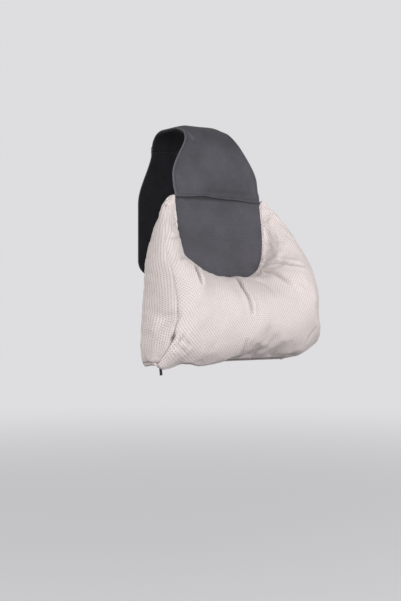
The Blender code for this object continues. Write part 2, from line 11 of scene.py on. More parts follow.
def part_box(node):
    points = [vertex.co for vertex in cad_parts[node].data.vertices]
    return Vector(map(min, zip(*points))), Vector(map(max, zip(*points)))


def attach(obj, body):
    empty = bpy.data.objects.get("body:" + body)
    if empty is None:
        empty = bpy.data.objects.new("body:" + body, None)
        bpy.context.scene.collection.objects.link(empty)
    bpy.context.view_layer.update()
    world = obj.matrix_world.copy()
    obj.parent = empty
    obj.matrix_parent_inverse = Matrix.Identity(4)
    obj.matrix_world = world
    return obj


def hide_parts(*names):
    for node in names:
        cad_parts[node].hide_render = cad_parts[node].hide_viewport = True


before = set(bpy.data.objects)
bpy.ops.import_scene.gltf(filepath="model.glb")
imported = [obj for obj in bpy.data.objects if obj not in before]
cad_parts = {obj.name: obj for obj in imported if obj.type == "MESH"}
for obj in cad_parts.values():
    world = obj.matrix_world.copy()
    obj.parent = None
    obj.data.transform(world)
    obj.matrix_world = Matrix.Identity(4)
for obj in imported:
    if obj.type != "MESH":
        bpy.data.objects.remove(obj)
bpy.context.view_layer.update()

MM = 0.001

# The camera comes first: level, from the pillow's left, as in the photograph
CAMERA_AZIMUTH = -36.0
CAMERA_DISTANCE = 1.6
CAMERA_TARGET = Vector((-0.046, -0.090, -0.266))
LENS = 65.0


def make_camera():
    turn = math.radians(CAMERA_AZIMUTH)
    back = Vector((math.sin(turn), -math.cos(turn), 0.0))
    data = bpy.data.cameras.new("camera")
    data.lens = LENS
    data.sensor_width = 36.0
    data.clip_start, data.clip_end = 0.02, 60.0
    camera = bpy.data.objects.new("camera", data)
    camera.location = CAMERA_TARGET + back * CAMERA_DISTANCE
    camera.rotation_mode = "QUATERNION"
    camera.rotation_quaternion = (-back).to_track_quat("-Z", "Y")
    bpy.context.scene.collection.objects.link(camera)
    bpy.context.scene.camera = camera


make_camera()

# Sizes that the solids also have
GAP = 0.3 * MM
LEATHER = 1.6 * MM
LINING = 2.0 * MM
EDGE_GAP = 0.4 * MM
BASE = 2.3 * MM
FRONT_LEAN = math.radians(9.0)
CROWN_FLAT = 28.0 * MM
FRONT_BEND = 42.0 * MM
REAR_BEND = 26.0 * MM
SEAM_DROP = 115.0 * MM
CROWN_DOME = 9.0 * MM
DOME_FLAT = 22.0 * MM
DOME_FADE = 70.0 * MM
PANEL_HALF = 80.0 * MM
CROWN_HALF = 44.0 * MM
TAPER_START = 31.0 * MM
TAPER_LENGTH = 84.0 * MM
SEAM_OVERLAP = 9.0 * MM
SEAM_STEP = 9.0 * MM
REAR_OVERLAP = 8.0 * MM
FLAP_LENGTH = 196.0 * MM
FLAP_HALF = 70.0 * MM
FLAP_CORNER = 22.0 * MM
FLAP_TAPER = 90.0 * MM
U_HALF = 81.0 * MM
U_DEPTH = 121.0 * MM
U_POWER = 3.8
PILLOW_HALF = 157.0 * MM
PILLOW_DROP = 245.0 * MM
PILLOW_DEPTH = 77.0 * MM
SIDE_FOOT = 5.0 * MM
ZIP_FOOT = 27.0 * MM
INNER_POWER = 2.1
SIDE_POWER = 3.2
BOTTOM_POWER = 2.5
CORNER_SOFTEN = 1.2
CORNER_AT = 0.71
CORNER_SPAN = 0.16
PANEL_SEAM = 0.72
SIDE_LEAN = 19.0 * MM
RIGHT_LIFT = 19.0 * MM
RIGHT_INSET = 5.0 * MM
RIGHT_LOW = 0.55
RIGHT_START = 100.0 * MM
BELLY = 18.0 * MM
BELLY_SPAN = 110.0 * MM
BELLY_PAST = 20.0 * MM
SEAM_TURN = 0.65
SEAM_END = 0.72
SEAM_LOW = 0.85
BOTTOM_START = 0.60
BOTTOM_FULL = 0.85
FOOT_START = 0.66
FOOT_FULL = 0.75
ZIP_LEFT = -144.0 * MM
ZIP_RIGHT = 90.0 * MM
ZIP_OPENING = 17.0 * MM

# Loft stations of half the pillow, from a horn's tip to the lower corner: share of the loft, share of the
# U, reach, drop and depth
STATIONS = (
    (0.00, 0.00, 0.055, -0.016, 0.12),
    (0.04, 0.03, 0.17, 0.008, 0.15),
    (0.10, 0.10, 0.33, 0.072, 0.19),
    (0.18, 0.22, 0.52, 0.168, 0.32),
    (0.26, 0.36, 0.66, 0.272, 0.50),
    (0.34, 0.48, 0.77, 0.392, 0.68),
    (0.45, 0.57, 0.86, 0.560, 0.89),
    (0.56, 0.64, 0.93, 0.728, 1.00),
    (0.66, 0.69, 0.99, 0.880, 1.00),
    (0.71, 0.72, 0.99, 0.955, 1.00),
    (0.74, 0.75, 0.93, 0.997, 1.00),
    (0.77, 0.78, 0.80, 1.000, 1.00),
)

# The pillow's grid and its stuffing
LOFT_ROWS = 200
FRONT_COLUMNS = 46
END_COLUMNS = 14
BACK_COLUMNS = 12
RING = FRONT_COLUMNS + END_COLUMNS + BACK_COLUMNS
SLACK = 1.6 * MM
BAG_INSET = 14.0 * MM
BAG_FROM = 0.08
BAG_BACK = 3.2 * MM
SWELL_CAP = 6.5 * MM
PRESSURE = 4.0
GROWTH = -0.035
SIM_FRAMES = 20

# Shares of the skin from the U's edge to the outer edge: the foot, where the inset grows, the low columns
FOOT_SHARE = 1.0 / 15
INSET_EASE = 0.12
SPLIT_LOW = 0.80

# What the cloth simulation is given
CLOTH = {
    "quality": 6, "mass": 0.25, "air_damping": 2.0, "tension_stiffness": 18.0,
    "compression_stiffness": 18.0, "shear_stiffness": 6.0, "bending_stiffness": 0.6,
    "vertex_group_mass": "still", "use_pressure": True, "uniform_pressure_force": PRESSURE,
    "shrink_min": GROWTH,
}

# The rolled edge of cloth that stands over the leather round the U
LIP = 1.5 * MM
LIP_AT = 7.0 * MM
LIP_WIDE = 2.2 * MM


def ease(x):
    """A smooth step from 0 to 1, on numbers or arrays."""
    x = np.clip(x, 0.0, 1.0)
    return x * x * (3.0 - 2.0 * x)


def past(x, start, run):
    """A smooth step from 0, where x is start mm, to 1, a run of mm further."""
    return ease((x - start * MM) / (run * MM))


def band(x, at, width):
    """1 where x is at mm, fading over a width in mm to both sides."""
    return np.exp(-((x - at * MM) / (width * MM)) ** 2)


# The strap's path, s along the lining's underside from the crown's middle, forward positive
FRONT_TURN = math.pi / 2 - FRONT_LEAN
FRONT_START = CROWN_FLAT / 2 + FRONT_BEND * FRONT_TURN
SEAM_AT = FRONT_START + (SEAM_DROP - FRONT_BEND * (1.0 - math.cos(FRONT_TURN))) / math.cos(FRONT_LEAN)
REAR_START = -(CROWN_FLAT / 2 + REAR_BEND * math.pi / 2)
REAR_SEAM_AT = REAR_START - 4.0 * MM
FLAP_END = REAR_SEAM_AT - FLAP_LENGTH


def strap_station(s):
    """The underside's point and its outward normal, both as (y, z)."""
    side = -1.0 if s > 0 else 1.0
    bend, turn = (FRONT_BEND, FRONT_TURN) if s > 0 else (REAR_BEND, math.pi / 2)
    run = abs(s)
    if run <= CROWN_FLAT / 2:
        return (side * run, 0.0), (0.0, 1.0)
    angle = min((run - CROWN_FLAT / 2) / bend, turn)
    rest = run - CROWN_FLAT / 2 - bend * angle
    y = CROWN_FLAT / 2 + bend * math.sin(angle) + rest * math.cos(angle)
    z = -bend * (1.0 - math.cos(angle)) - rest * math.sin(angle)
    return (side * y, z), (side * math.sin(angle), math.cos(angle))


def on_strap(x, s, lift):
    """A point on the strap: across, along, and lifted off the underside."""
    (y, z), (ny, nz) = strap_station(s)
    beyond = max(abs(x) - DOME_FLAT, 0.0) / (CROWN_HALF - DOME_FLAT)
    fade = 1.0 - ease((abs(s) - CROWN_FLAT / 2) / DOME_FADE)
    drop = CROWN_DOME * min(beyond, 2.0) ** 2 / (1.0 + 0.5 * beyond * beyond) * fade
    return Vector((x, y + ny * lift, z + nz * lift - drop))


SEAM_YZ = strap_station(SEAM_AT)[0]
UP = Vector((0.0, math.sin(FRONT_LEAN), math.cos(FRONT_LEAN)))
OUT = Vector((0.0, -math.cos(FRONT_LEAN), math.sin(FRONT_LEAN)))


def on_front(u, w, n):
    """A point of the leaning front."""
    return Vector((u, *SEAM_YZ)) + UP * w + OUT * n


def to_world(uwn):
    """Rows of (u, w, n) as rows of world points."""
    start = np.array((0.0, *SEAM_YZ))
    across = uwn[:, :1] * np.array((1.0, 0.0, 0.0))
    return start + across + uwn[:, 1:2] * np.array(UP) + uwn[:, 2:] * np.array(OUT)


def to_front(points):
    """Rows of world points as rows of (u, w, n)."""
    off = points - np.array((0.0, *SEAM_YZ))
    return np.stack((off[:, 0], off @ np.array(UP), off @ np.array(OUT)), 1)


def panel_half(s):
    """The leather's half-width along the strap."""
    front = ease((SEAM_AT - s - TAPER_START) / TAPER_LENGTH)
    rear = ease((REAR_START - s) / FLAP_TAPER)
    return CROWN_HALF + (PANEL_HALF - CROWN_HALF) * (1.0 - front) + (FLAP_HALF - CROWN_HALF) * rear


def u_half_below(drop):
    """The U's half-width at a depth below the seam."""
    share = min(max(drop / U_DEPTH, 0.0), 1.0)
    return U_HALF * max(1.0 - share ** U_POWER, 0.0) ** (1 / U_POWER)


def u_curve():
    """The left half of the U: run, u and w at even angles, from the horn's tip to the middle."""
    angle = np.linspace(0.0, math.pi / 2, 401)
    u = -U_HALF * np.maximum(np.cos(angle), 0.0) ** (2 / U_POWER)
    w = -U_DEPTH * np.sin(angle) ** (2 / U_POWER)
    run = np.concatenate(((0.0,), np.cumsum(np.hypot(np.diff(u), np.diff(w)))))
    return run / run[-1], u, w


U_RUN, U_ACROSS, U_UP = u_curve()


def spline(points, x):
    """A smooth curve through rows of numbers, read at x along their first column."""
    last = len(points) - 1
    i = max(k for k in range(last) if points[k][0] <= x or k == 0)
    p0, p1, p2, p3 = (points[min(max(i + k, 0), last)] for k in (-1, 0, 1, 2))
    t = (x - p1[0]) / (p2[0] - p1[0])
    out = []
    for a, b, c, d in zip(p0, p1, p2, p3):
        square = 2 * a - 5 * b + 4 * c - d
        cube = 3 * b - a - 3 * c + d
        out.append(0.5 * (2 * b + (c - a) * t + square * t * t + cube * t ** 3))
    return out


def loft_row(f):
    """One row across the pillow: inner point, outer point and depth, for f from 0 at the left tip to 1."""
    share = min(f, 1.0 - f) * 2.0
    side = 1.0 if f > 0.5 else -1.0
    corner = STATIONS[-1]
    if share <= corner[0]:
        _, inner, reach, drop, deep = spline(STATIONS, share)
        u, w = U_HALF + reach * (PILLOW_HALF - U_HALF), -drop * PILLOW_DROP
    else:
        along = (share - corner[0]) / (1.0 - corner[0])
        inner = corner[1] + (1.0 - corner[1]) * along
        u, w = (U_HALF + corner[2] * (PILLOW_HALF - U_HALF)) * (1.0 - along), -PILLOW_DROP
        deep = 1.0
    if f > 0.5:
        low = float(ease((-w / PILLOW_DROP - RIGHT_LOW) / (1.0 - RIGHT_LOW)))
        outward = ease((u - RIGHT_START) / (PILLOW_HALF - RIGHT_START))
        w += RIGHT_LIFT * float(outward * ease(-w / PILLOW_DROP))
        u *= 1.0 - RIGHT_INSET / PILLOW_HALF * low
    a = np.interp(inner, U_RUN, U_ACROSS)
    b = np.interp(inner, U_RUN, U_UP)
    return (-side * a, b), (side * u, w), deep * PILLOW_DEPTH


def skin_row(f, t, inset):
    """Points (u, w, n) of the skin along one row, for t from 0 at the U's edge to 1 at the outer edge."""
    (iu, iw), (ou, ow), deep = loft_row(f)
    width = math.dist((iu, iw), (ou, ow))
    inset = min(inset * min(deep / (0.4 * PILLOW_DEPTH), 1.0), 0.3 * width)
    share = min(f, 1.0 - f) * 2.0
    bottom = ease((share - BOTTOM_START) / (BOTTOM_FULL - BOTTOM_START))
    foot = SIDE_FOOT + (ZIP_FOOT - SIDE_FOOT) * ease((share - FOOT_START) / (FOOT_FULL - FOOT_START))
    foot = min(foot, 0.25 * deep)
    turn = 1.0 - FOOT_SHARE
    corner = math.exp(-((share - CORNER_AT) / CORNER_SPAN) ** 2)
    outer_power = SIDE_POWER + (BOTTOM_POWER - SIDE_POWER) * bottom - CORNER_SOFTEN * corner
    inner = t < 0.5
    angle = math.pi * np.where(inner, t, 0.5 + 0.5 * np.minimum((t - 0.5) / (turn - 0.5), 1.0))
    power = np.where(inner, INNER_POWER, outer_power)
    side = np.abs(np.cos(angle)) ** (2 / power)
    across = np.where(inner, 0.5 - 0.5 * side, 0.5 + 0.5 * side)
    high = np.maximum(np.sin(angle), 0.0) ** (2 / power)
    held = inset * ease(t / INSET_EASE)
    r = (held + (width - inset - held) * across) / width
    u, w = iu + (ou - iu) * r, iw + (ow - iw) * r
    lean = SIDE_LEAN * deep / PILLOW_DEPTH * (1.0 - bottom) * r * high
    u = u + lean if ou < 0 else u - lean
    w = w - BELLY * ease((BELLY_PAST - u) / BELLY_SPAN) * bottom * r ** 4 * np.sin(math.pi * high)
    floor = np.where(inner, BASE, BASE + foot * np.minimum((1.0 - t) / (1.0 - turn), 1.0))
    n = floor + (deep - floor - inset) * high
    lip = LIP * np.exp(-((n - LIP_AT) / LIP_WIDE) ** 2) * ease((0.3 - t) / 0.1)
    return np.stack((u - lip * (ou - iu) / width, w - lip * (ow - iw) / width, n), 1)


def panel_seam(f):
    """Where the front's seam with an end panel lies across the skin."""
    share = min(f, 1.0 - f) * 2.0
    turned = min(max((share - SEAM_TURN) / (SEAM_END - SEAM_TURN), 0.0), 1.0)
    return PANEL_SEAM + (SEAM_LOW - PANEL_SEAM) * turned ** 3


def ring_row(f, inset, behind):
    """The closed section at f: the skin from the U's edge to the outer edge, and the back at n = behind."""
    share = min(f, 1.0 - f) * 2.0
    split = panel_seam(f)
    if share > SEAM_END:
        split += (SPLIT_LOW - split) * ease((share - SEAM_END) / 0.1)
    t = np.concatenate((
        np.linspace(0.0, split, FRONT_COLUMNS, endpoint=False),
        np.linspace(split, 1.0, END_COLUMNS + 1),
    ))
    skin = skin_row(f, t, inset)
    skin[:, 2] = np.maximum(skin[:, 2], behind + 1.0 * MM)
    back = np.linspace(0.0, 1.0, BACK_COLUMNS + 1)[1:, None]
    flat = skin[-1] + (skin[0] - skin[-1]) * back
    flat[:-1, 2] = behind
    return np.concatenate((skin, flat))


# Mesh helpers
def link(name, mesh):
    made = bpy.data.objects.new(name, mesh)
    bpy.context.scene.collection.objects.link(made)
    return made


def from_bmesh(name, bm, smooth=True):
    """A bmesh as a new piece."""
    mesh = bpy.data.meshes.new(name)
    bm.to_mesh(mesh)
    bm.free()
    if smooth:
        mesh.shade_smooth()
    return link(name, mesh)


def coordinates(mesh):
    flat = np.empty(len(mesh.vertices) * 3)
    mesh.vertices.foreach_get("co", flat)
    return flat.reshape(-1, 3)


def set_coordinates(mesh, points):
    mesh.vertices.foreach_set("co", np.ascontiguousarray(points).ravel())
    mesh.update()


def vertex_normals(mesh):
    flat = np.empty(len(mesh.vertices) * 3)
    mesh.vertex_normals.foreach_get("vector", flat)
    return flat.reshape(-1, 3)


def settle(piece):
    """Applies a piece's modifiers to its mesh."""
    evaluated = piece.evaluated_get(bpy.context.evaluated_depsgraph_get())
    mesh = bpy.data.meshes.new_from_object(evaluated)
    old = piece.data
    piece.modifiers.clear()
    piece.data = mesh
    bpy.data.meshes.remove(old)
    mesh.name = piece.name


def subdivide(piece, levels=1):
    made = piece.modifiers.new("finer", "SUBSURF")
    made.levels = made.render_levels = levels
    made.uv_smooth = "PRESERVE_BOUNDARIES"
    settle(piece)


def waves(points, scale, seed):
    """Smooth noise between -1 and 1 at rows of points."""
    shift = Vector((seed * 3.7, seed * 1.9, seed * 2.3))
    return np.array([noise.noise(Vector(p) / scale + shift) for p in points.tolist()])


# Finishes
def linear(code):
    """An sRGB hex colour as linear RGBA."""
    parts = [int(code[i:i + 2], 16) / 255 for i in (0, 2, 4)]
    return (*[c / 12.92 if c <= 0.04045 else ((c + 0.055) / 1.055) ** 2.4 for c in parts], 1.0)


def node(tree, kind, output=0, **values):
    """Adds a node and returns one of its outputs, or all for None. Values that name a setting set it. The
    others go to its inputs, by name or as in0, in1 and on: a socket is linked, a hex code is a colour."""
    made = tree.nodes.new("ShaderNode" + kind)
    settings = {key for key in values if key in made.bl_rna.properties}
    for key in settings:
        setattr(made, key, values[key])
    for key in values.keys() - settings:
        value = values[key]
        numbered = key.startswith("in") and key[2:].isdigit()
        socket = made.inputs[int(key[2:]) if numbered else key.replace("_", " ")]
        if isinstance(value, bpy.types.NodeSocket):
            tree.links.new(value, socket)
        else:
            socket.default_value = linear(value) if isinstance(value, str) else value
    return made.outputs if output is None else made.outputs[output]


def finish(name, roughness=0.5, specular=0.5, metallic=0.0, sheen=0.0):
    """A new material with its shader's plain values, its tree and the places on the object."""
    made = bpy.data.materials.new(name)
    made.use_nodes = True
    shader = made.node_tree.nodes["Principled BSDF"].inputs
    plain = (("Roughness", roughness), ("Specular IOR Level", specular), ("Metallic", metallic),
             ("Sheen Weight", sheen))
    for socket, value in plain:
        shader[socket].default_value = value
    return made, made.node_tree, node(made.node_tree, "TexCoord", "Object")


def shade(tree, **sockets):
    """Links outputs to the shader's inputs of those names."""
    shader = tree.nodes["Principled BSDF"].inputs
    for name, socket in sockets.items():
        tree.links.new(socket, shader[name.replace("_", " ")])


CELL_ACROSS = 4.6 * MM
CELL_ALONG = 5.4 * MM
YARN = 0.9 * MM

# A wave texture at scale 1 repeats after this many metres
WAVE = 0.314


def woven_cotton():
    """Off-white cotton-polyester dobby: rows of small pits in a diamond lattice between plump ribs, dull,
    with a soft sheen. Painted shade darkens the seams, the sharp folds and a small gap at the left seam's
    foot, more towards the bottom. The yarns show only close to."""
    made, tree, where = finish("woven cotton blend", roughness=0.93, specular=0.2, sheen=0.15)
    cut = node(tree, "UVMap", uv_map="weave")
    wander = node(tree, "TexNoise", "Color", Vector=cut, Scale=38.0, Detail=1.0)
    drift = node(tree, "VectorMath", operation="MULTIPLY_ADD", in0=wander, in1=(2.2 * MM, 2.2 * MM, 0.0),
                 in2=cut)
    cells = node(tree, "VectorMath", operation="MULTIPLY", in0=drift,
                 in1=(2 * math.pi / CELL_ACROSS, 2 * math.pi / CELL_ALONG, 0.0))
    swing = node(tree, "VectorMath", operation="COSINE", in0=cells)
    across, along, _ = node(tree, "SeparateXYZ", None, Vector=swing)
    lattice = node(tree, "Math", operation="MULTIPLY", in0=across, in1=along)
    slubs = node(tree, "TexNoise", "Fac", Vector=cut, Scale=420.0, Detail=3.0, Roughness=0.6)
    rough_lattice = node(tree, "Math", operation="MULTIPLY_ADD", in0=slubs, in1=1.1, in2=lattice)
    pit = node(tree, "MapRange", interpolation_type="SMOOTHSTEP", Value=rough_lattice, From_Min=0.75,
               From_Max=1.6)
    threads = node(tree, "VectorMath", operation="SCALE", in0=cut, Scale=2 * math.pi / YARN)
    over = node(tree, "VectorMath", operation="SINE", in0=threads)
    warp, weft, _ = node(tree, "SeparateXYZ", None, Vector=over)
    yarn = node(tree, "Math", operation="MULTIPLY", in0=warp, in1=weft)
    cloudy = node(tree, "TexNoise", "Fac", Vector=where, Scale=11.0, Detail=2.0)
    base = node(tree, "Mix", 2, data_type="RGBA", in0=cloudy, in6=COTTON_SHADE, in7=COTTON)
    plump = node(tree, "Mix", 2, data_type="RGBA", in0=slubs, in6=base, in7=COTTON_HIGH)
    pitted_share = node(tree, "Math", operation="MULTIPLY", in0=pit, in1=0.72)
    pitted = node(tree, "Mix", 2, data_type="RGBA", in0=pitted_share, in6=plump, in7=COTTON_PIT)
    # Painted shade: the crease mark from the sculpted skin darkens seams, folds and the left seam's gap.
    crease_shade = node(tree, "Attribute", "Fac", attribute_name="crease_shade")
    creased = node(tree, "Mix", 2, data_type="RGBA", in0=crease_shade, in6=pitted, in7=COTTON_CREASE_SHADE)
    sunk = node(tree, "Math", operation="MULTIPLY_ADD", in0=pit, in1=-0.75, in2=0.75)
    woven = node(tree, "Math", operation="MULTIPLY_ADD", in0=yarn, in1=0.10, in2=sunk)
    height = node(tree, "Math", operation="MULTIPLY_ADD", in0=slubs, in1=0.22, in2=woven)
    relief = node(tree, "Bump", Height=height, Distance=0.6 * MM, Strength=0.75)
    shade(tree, Base_Color=creased, Normal=relief)
    return made


def grained_leather():
    """Pigmented cowhide, embossed with a fine pebble of about 0.95 mm: charcoal and satin, paler along its
    turned edges from rubbed wear and a painted highlight, stronger on the left edge. Painted shade darkens
    the stitch lines, the line under the lap's edge and the crown."""
    made, tree, where = finish("pigmented leather", specular=0.25)
    pebble = node(tree, "TexVoronoi", "Distance", Vector=where, Scale=1.0 / (0.95 * MM), Randomness=0.9)
    wrinkle = node(tree, "TexVoronoi", "Distance", feature="DISTANCE_TO_EDGE", Vector=where,
                   Scale=1.0 / (3.4 * MM), Randomness=1.0)
    broad = node(tree, "TexNoise", "Fac", Vector=where, Scale=22.0, Detail=4.0)
    mottled = node(tree, "MapRange", Value=broad, From_Min=0.3, From_Max=0.7)
    pores = node(tree, "TexNoise", "Fac", Vector=where, Scale=1000.0, Detail=2.0)
    hide = node(tree, "Mix", 2, data_type="RGBA", in0=mottled, in6=LEATHER_DARK, in7=LEATHER_LIGHT)
    # Paler edges: rubbed wear with a painted highlight, strongest along the left edge.
    edge = node(tree, "Attribute", "Fac", attribute_name="worn_and_highlight")
    rubbed = node(tree, "Mix", 2, data_type="RGBA", in0=edge, in6=hide, in7=LEATHER_RUBBED_HIGHLIGHT)
    # Painted shade in the stitch grooves, under the lap's edge and over the crown.
    groove = node(tree, "Attribute", "Fac", attribute_name="groove")
    shaded = node(tree, "Mix", 2, data_type="RGBA", in0=groove, in6=rubbed, in7=LEATHER_PIT_AND_SHADE)
    between = node(tree, "MapRange", Value=pebble, From_Min=0.35, From_Max=0.8, To_Max=0.4)
    grained = node(tree, "Mix", 2, data_type="RGBA", in0=between, in6=shaded, in7=LEATHER_PIT_AND_SHADE)
    raised = node(tree, "Math", operation="MULTIPLY_ADD", in0=pebble, in1=-0.8, in2=0.8)
    folded = node(tree, "MapRange", Value=wrinkle, From_Max=0.12, To_Max=0.35)
    height = node(tree, "Math", operation="ADD", in0=raised, in1=folded)
    porous = node(tree, "Math", operation="MULTIPLY_ADD", in0=pores, in1=0.15, in2=height)
    satin = node(tree, "MapRange", Value=broad, From_Min=0.2, From_Max=0.8, To_Min=0.58, To_Max=0.7)
    relief = node(tree, "Bump", Height=porous, Distance=0.16 * MM, Strength=0.7)
    shade(tree, Base_Color=grained, Roughness=satin, Normal=relief)
    return made


def napped_cloth(name, light, dark, fibre, sheen):
    """Matt cloth with a short nap that lies in small patches, dark in one lie and paler in the other."""
    made, tree, where = finish(name, roughness=0.95, specular=0.2, sheen=sheen)
    patches = node(tree, "TexNoise", "Fac", Vector=where, Scale=60.0, Detail=3.0, Roughness=0.6)
    fibres = node(tree, "TexNoise", "Fac", Vector=where, Scale=0.5 / fibre, Detail=3.0, Roughness=0.7)
    lie = node(tree, "Mix", 0, data_type="FLOAT", in0=0.4, in2=patches, in3=fibres)
    strong = node(tree, "MapRange", Value=lie, From_Min=0.35, From_Max=0.65)
    shade(tree, Base_Color=node(tree, "Mix", 2, data_type="RGBA", in0=strong, in6=dark, in7=light),
          Normal=node(tree, "Bump", Height=fibres, Distance=0.25 * MM, Strength=0.6))
    return made


def woven_tape():
    """Polyester zip tape: fine cross ribs 1 mm apart, dull between them."""
    made, tree, where = finish("woven polyester tape", roughness=0.8, specular=0.3)
    ribs = node(tree, "TexWave", "Fac", wave_type="BANDS", bands_direction="X", Vector=where,
                Scale=WAVE / (1.0 * MM), Distortion=0.4, Detail=2.0, Detail_Scale=4.0)
    specks = node(tree, "TexNoise", "Fac", Vector=where, Scale=800.0, Detail=3.0)
    tone = node(tree, "Mix", 0, data_type="FLOAT", in0=0.4, in2=ribs, in3=specks)
    shade(tree, Base_Color=node(tree, "Mix", 2, data_type="RGBA", in0=tone, in6="A99C97", in7="D6CCC8"),
          Normal=node(tree, "Bump", Height=tone, Distance=0.2 * MM, Strength=0.7))
    return made


def finished_metal(name, colour, rubbed, metallic, rough):
    """Die-cast zinc under enamel, or mill-finished bar steel: faint drawn lines and small rubbed marks."""
    made, tree, where = finish(name, metallic=metallic)
    drawn = node(tree, "Mapping", Vector=where, Scale=(1.0, 1.0, 0.08))
    lines = node(tree, "TexNoise", "Fac", Vector=drawn, Scale=620.0, Detail=3.0)
    marks = node(tree, "TexNoise", "Fac", Vector=where, Scale=250.0, Detail=4.0, Roughness=0.65)
    bare = node(tree, "MapRange", Value=marks, From_Min=0.58, From_Max=0.72, To_Max=0.35)
    uneven = node(tree, "MapRange", Value=lines, From_Min=0.3, From_Max=0.7, To_Min=rough - 0.08,
                  To_Max=rough + 0.1)
    shade(tree, Base_Color=node(tree, "Mix", 2, data_type="RGBA", in0=bare, in6=colour, in7=rubbed),
          Roughness=uneven, Normal=node(tree, "Bump", Height=lines, Distance=0.03 * MM, Strength=0.5))
    return made


def wound_nylon():
    """Nylon 6 monofilament wound into a zip's coil: pale, satin, a little cloudy."""
    made, tree, where = finish("wound nylon")
    cloudy = node(tree, "TexNoise", "Fac", Vector=where, Scale=330.0, Detail=3.0)
    shade(tree, Base_Color=node(tree, "Mix", 2, data_type="RGBA", in0=cloudy, in6="B9ADA8", in7="DED5D0"),
          Roughness=node(tree, "MapRange", Value=cloudy, To_Min=0.35, To_Max=0.55),
          Normal=node(tree, "Bump", Height=cloudy, Distance=0.03 * MM, Strength=0.4))
    return made


def sewing_thread(name, colour, dark):
    """Bonded polyester thread: two plies, twisted, that show as slanted bands 0.9 mm apart."""
    made, tree, where = finish(name, roughness=0.6, specular=0.4)
    plies = node(tree, "TexWave", "Fac", wave_type="BANDS", bands_direction="DIAGONAL", Vector=where,
                 Scale=WAVE / (0.9 * MM))
    shade(tree, Base_Color=node(tree, "Mix", 2, data_type="RGBA", in0=plies, in6=dark, in7=colour),
          Normal=node(tree, "Bump", Height=plies, Distance=0.08 * MM, Strength=0.6))
    return made


COTTON, COTTON_SHADE, COTTON_HIGH = "DDD2D0", "D4C8C6", "EAE1DF"
# The second of these is the colour of painted shade in seams, folds and the seam's gap.
COTTON_PIT, COTTON_CREASE_SHADE = "8F7F78", "7E6E67"
# The third is the pale of rubbed edges and painted highlight. The fourth darkens the grain's pits and is the
# colour of painted shade.
LEATHER_DARK, LEATHER_LIGHT, LEATHER_RUBBED_HIGHLIGHT, LEATHER_PIT_AND_SHADE = "434248", "58575E", "7A7981", "232327"
weave = woven_cotton()
leather = grained_leather()
suede = napped_cloth("microsuede", "2E2D31", "1F1E22", 0.6 * MM, 0.15)
bag_cloth = napped_cloth("spunbond polypropylene", "E6E3DE", "D3CFC9", 1.0 * MM, 0.05)
tape_cloth = woven_tape()
nylon = wound_nylon()
enamel = finished_metal("black enamelled zinc", "1C1C1E", "4A4A4E", 0.6, 0.42)
steel = finished_metal("mill-finished steel", "8B8D90", "6D6A66", 1.0, 0.38)
dark_thread = sewing_thread("bonded polyester thread", "5E5D64", "2B2B2F")
tack_thread = sewing_thread("russet tacking thread", "8C5F57", "55403B")

# The solids that stay as they are
KEPT = (
    (("weight_bar_1", "weight_bar_2", "weight_bar_3", "weight_bar_4"), steel),
    (("zip_tape_front", "zip_tape_rear"), tape_cloth),
    (("zip_slider", "zip_pull"), enamel),
    (("zip_stop_left", "zip_stop_right"), nylon),
)
for names, kept_finish in KEPT:
    for name in names:
        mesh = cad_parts[name].data
        mesh.materials.clear()
        mesh.materials.append(kept_finish)


# The stuffed pillow
END_ROW = round(SEAM_END * LOFT_ROWS / 2)
OUTER = FRONT_COLUMNS + END_COLUMNS

# Marks on the cloth's points: its seams and edges, and how still the simulation leaves them
MARKS = ("seam", "inner_edge", "outer_edge", "still")

# Folds that the photograph shows in the front: points (u, w) in mm, half-width and depth in mm
FOLDS = (
    (((-91, -110), (-96, -121), (-98, -138)), 2.8, 4.6),
    (((-90, -63), (-101, -66), (-112, -68)), 3.0, 2.0),
    (((-93, -95), (-104, -97), (-114, -101)), 3.0, 2.2),
    (((-84, -40), (-94, -44), (-103, -46)), 3.2, 1.4),
    (((-3, -122), (-7, -129), (-15, -144), (-16, -161), (-16, -182)), 3.0, 4.6),
    (((64, -94), (76, -99), (84, -104), (104, -109)), 2.9, 3.8),
    (((60, -104), (62, -116), (66, -128), (73, -138)), 2.8, 3.2),
    (((79, -42), (85, -28), (98, -18)), 3.0, 2.6),
    (((72, -58), (82, -64), (94, -66)), 3.4, 1.6),
    (((30, -124), (36, -138), (38, -152)), 3.4, 1.6),
    (((-135, -212), (-128, -219), (-119, -227)), 2.6, 2.6),
    (((-139, -225), (-132, -229), (-124, -234)), 2.4, 2.0),
    (((-24, -222), (-23, -230), (-22, -240)), 2.6, 1.8),
    (((-4, -239), (10, -236), (25, -233)), 2.8, 1.3),
    (((116, -206), (108, -216), (102, -224)), 2.8, 1.8),
)


def pillow_grid(inset, start=0.0, behind=0.0):
    return np.stack([ring_row(f, inset, behind) for f in np.linspace(start, 1.0 - start, LOFT_ROWS + 1)])


def weave_places(grid):
    """Each grid point's place on the cloth: on the front's cut, on an end panel's and on the back's."""
    along_row = np.concatenate((
        np.zeros((LOFT_ROWS + 1, 1)),
        np.cumsum(np.linalg.norm(np.diff(grid, axis=1), axis=2), axis=1),
    ), axis=1)
    start = grid[:, 0, :2]
    way = grid[:, OUTER, :2] - start
    way /= np.linalg.norm(way, axis=1)[:, None]
    front = start[:, None] + way[:, None] * along_row[:, :, None]
    seam = grid[:, FRONT_COLUMNS]
    run = np.concatenate(((0.0,), np.cumsum(np.linalg.norm(np.diff(seam, axis=0), axis=1))))
    end = np.stack((along_row + 1.0, np.repeat(run[:, None], RING + 1, 1)), 2)
    back = grid[:, :, :2] + 2.0
    return front, end, back


def cloth_of(column, row):
    """Which cut a face belongs to, from its middle: 0 front, 1 end panel, 2 back."""
    if column > OUTER:
        return 2
    beyond = min(row, LOFT_ROWS - row) > END_ROW
    return 0 if column < FRONT_COLUMNS or beyond else 1


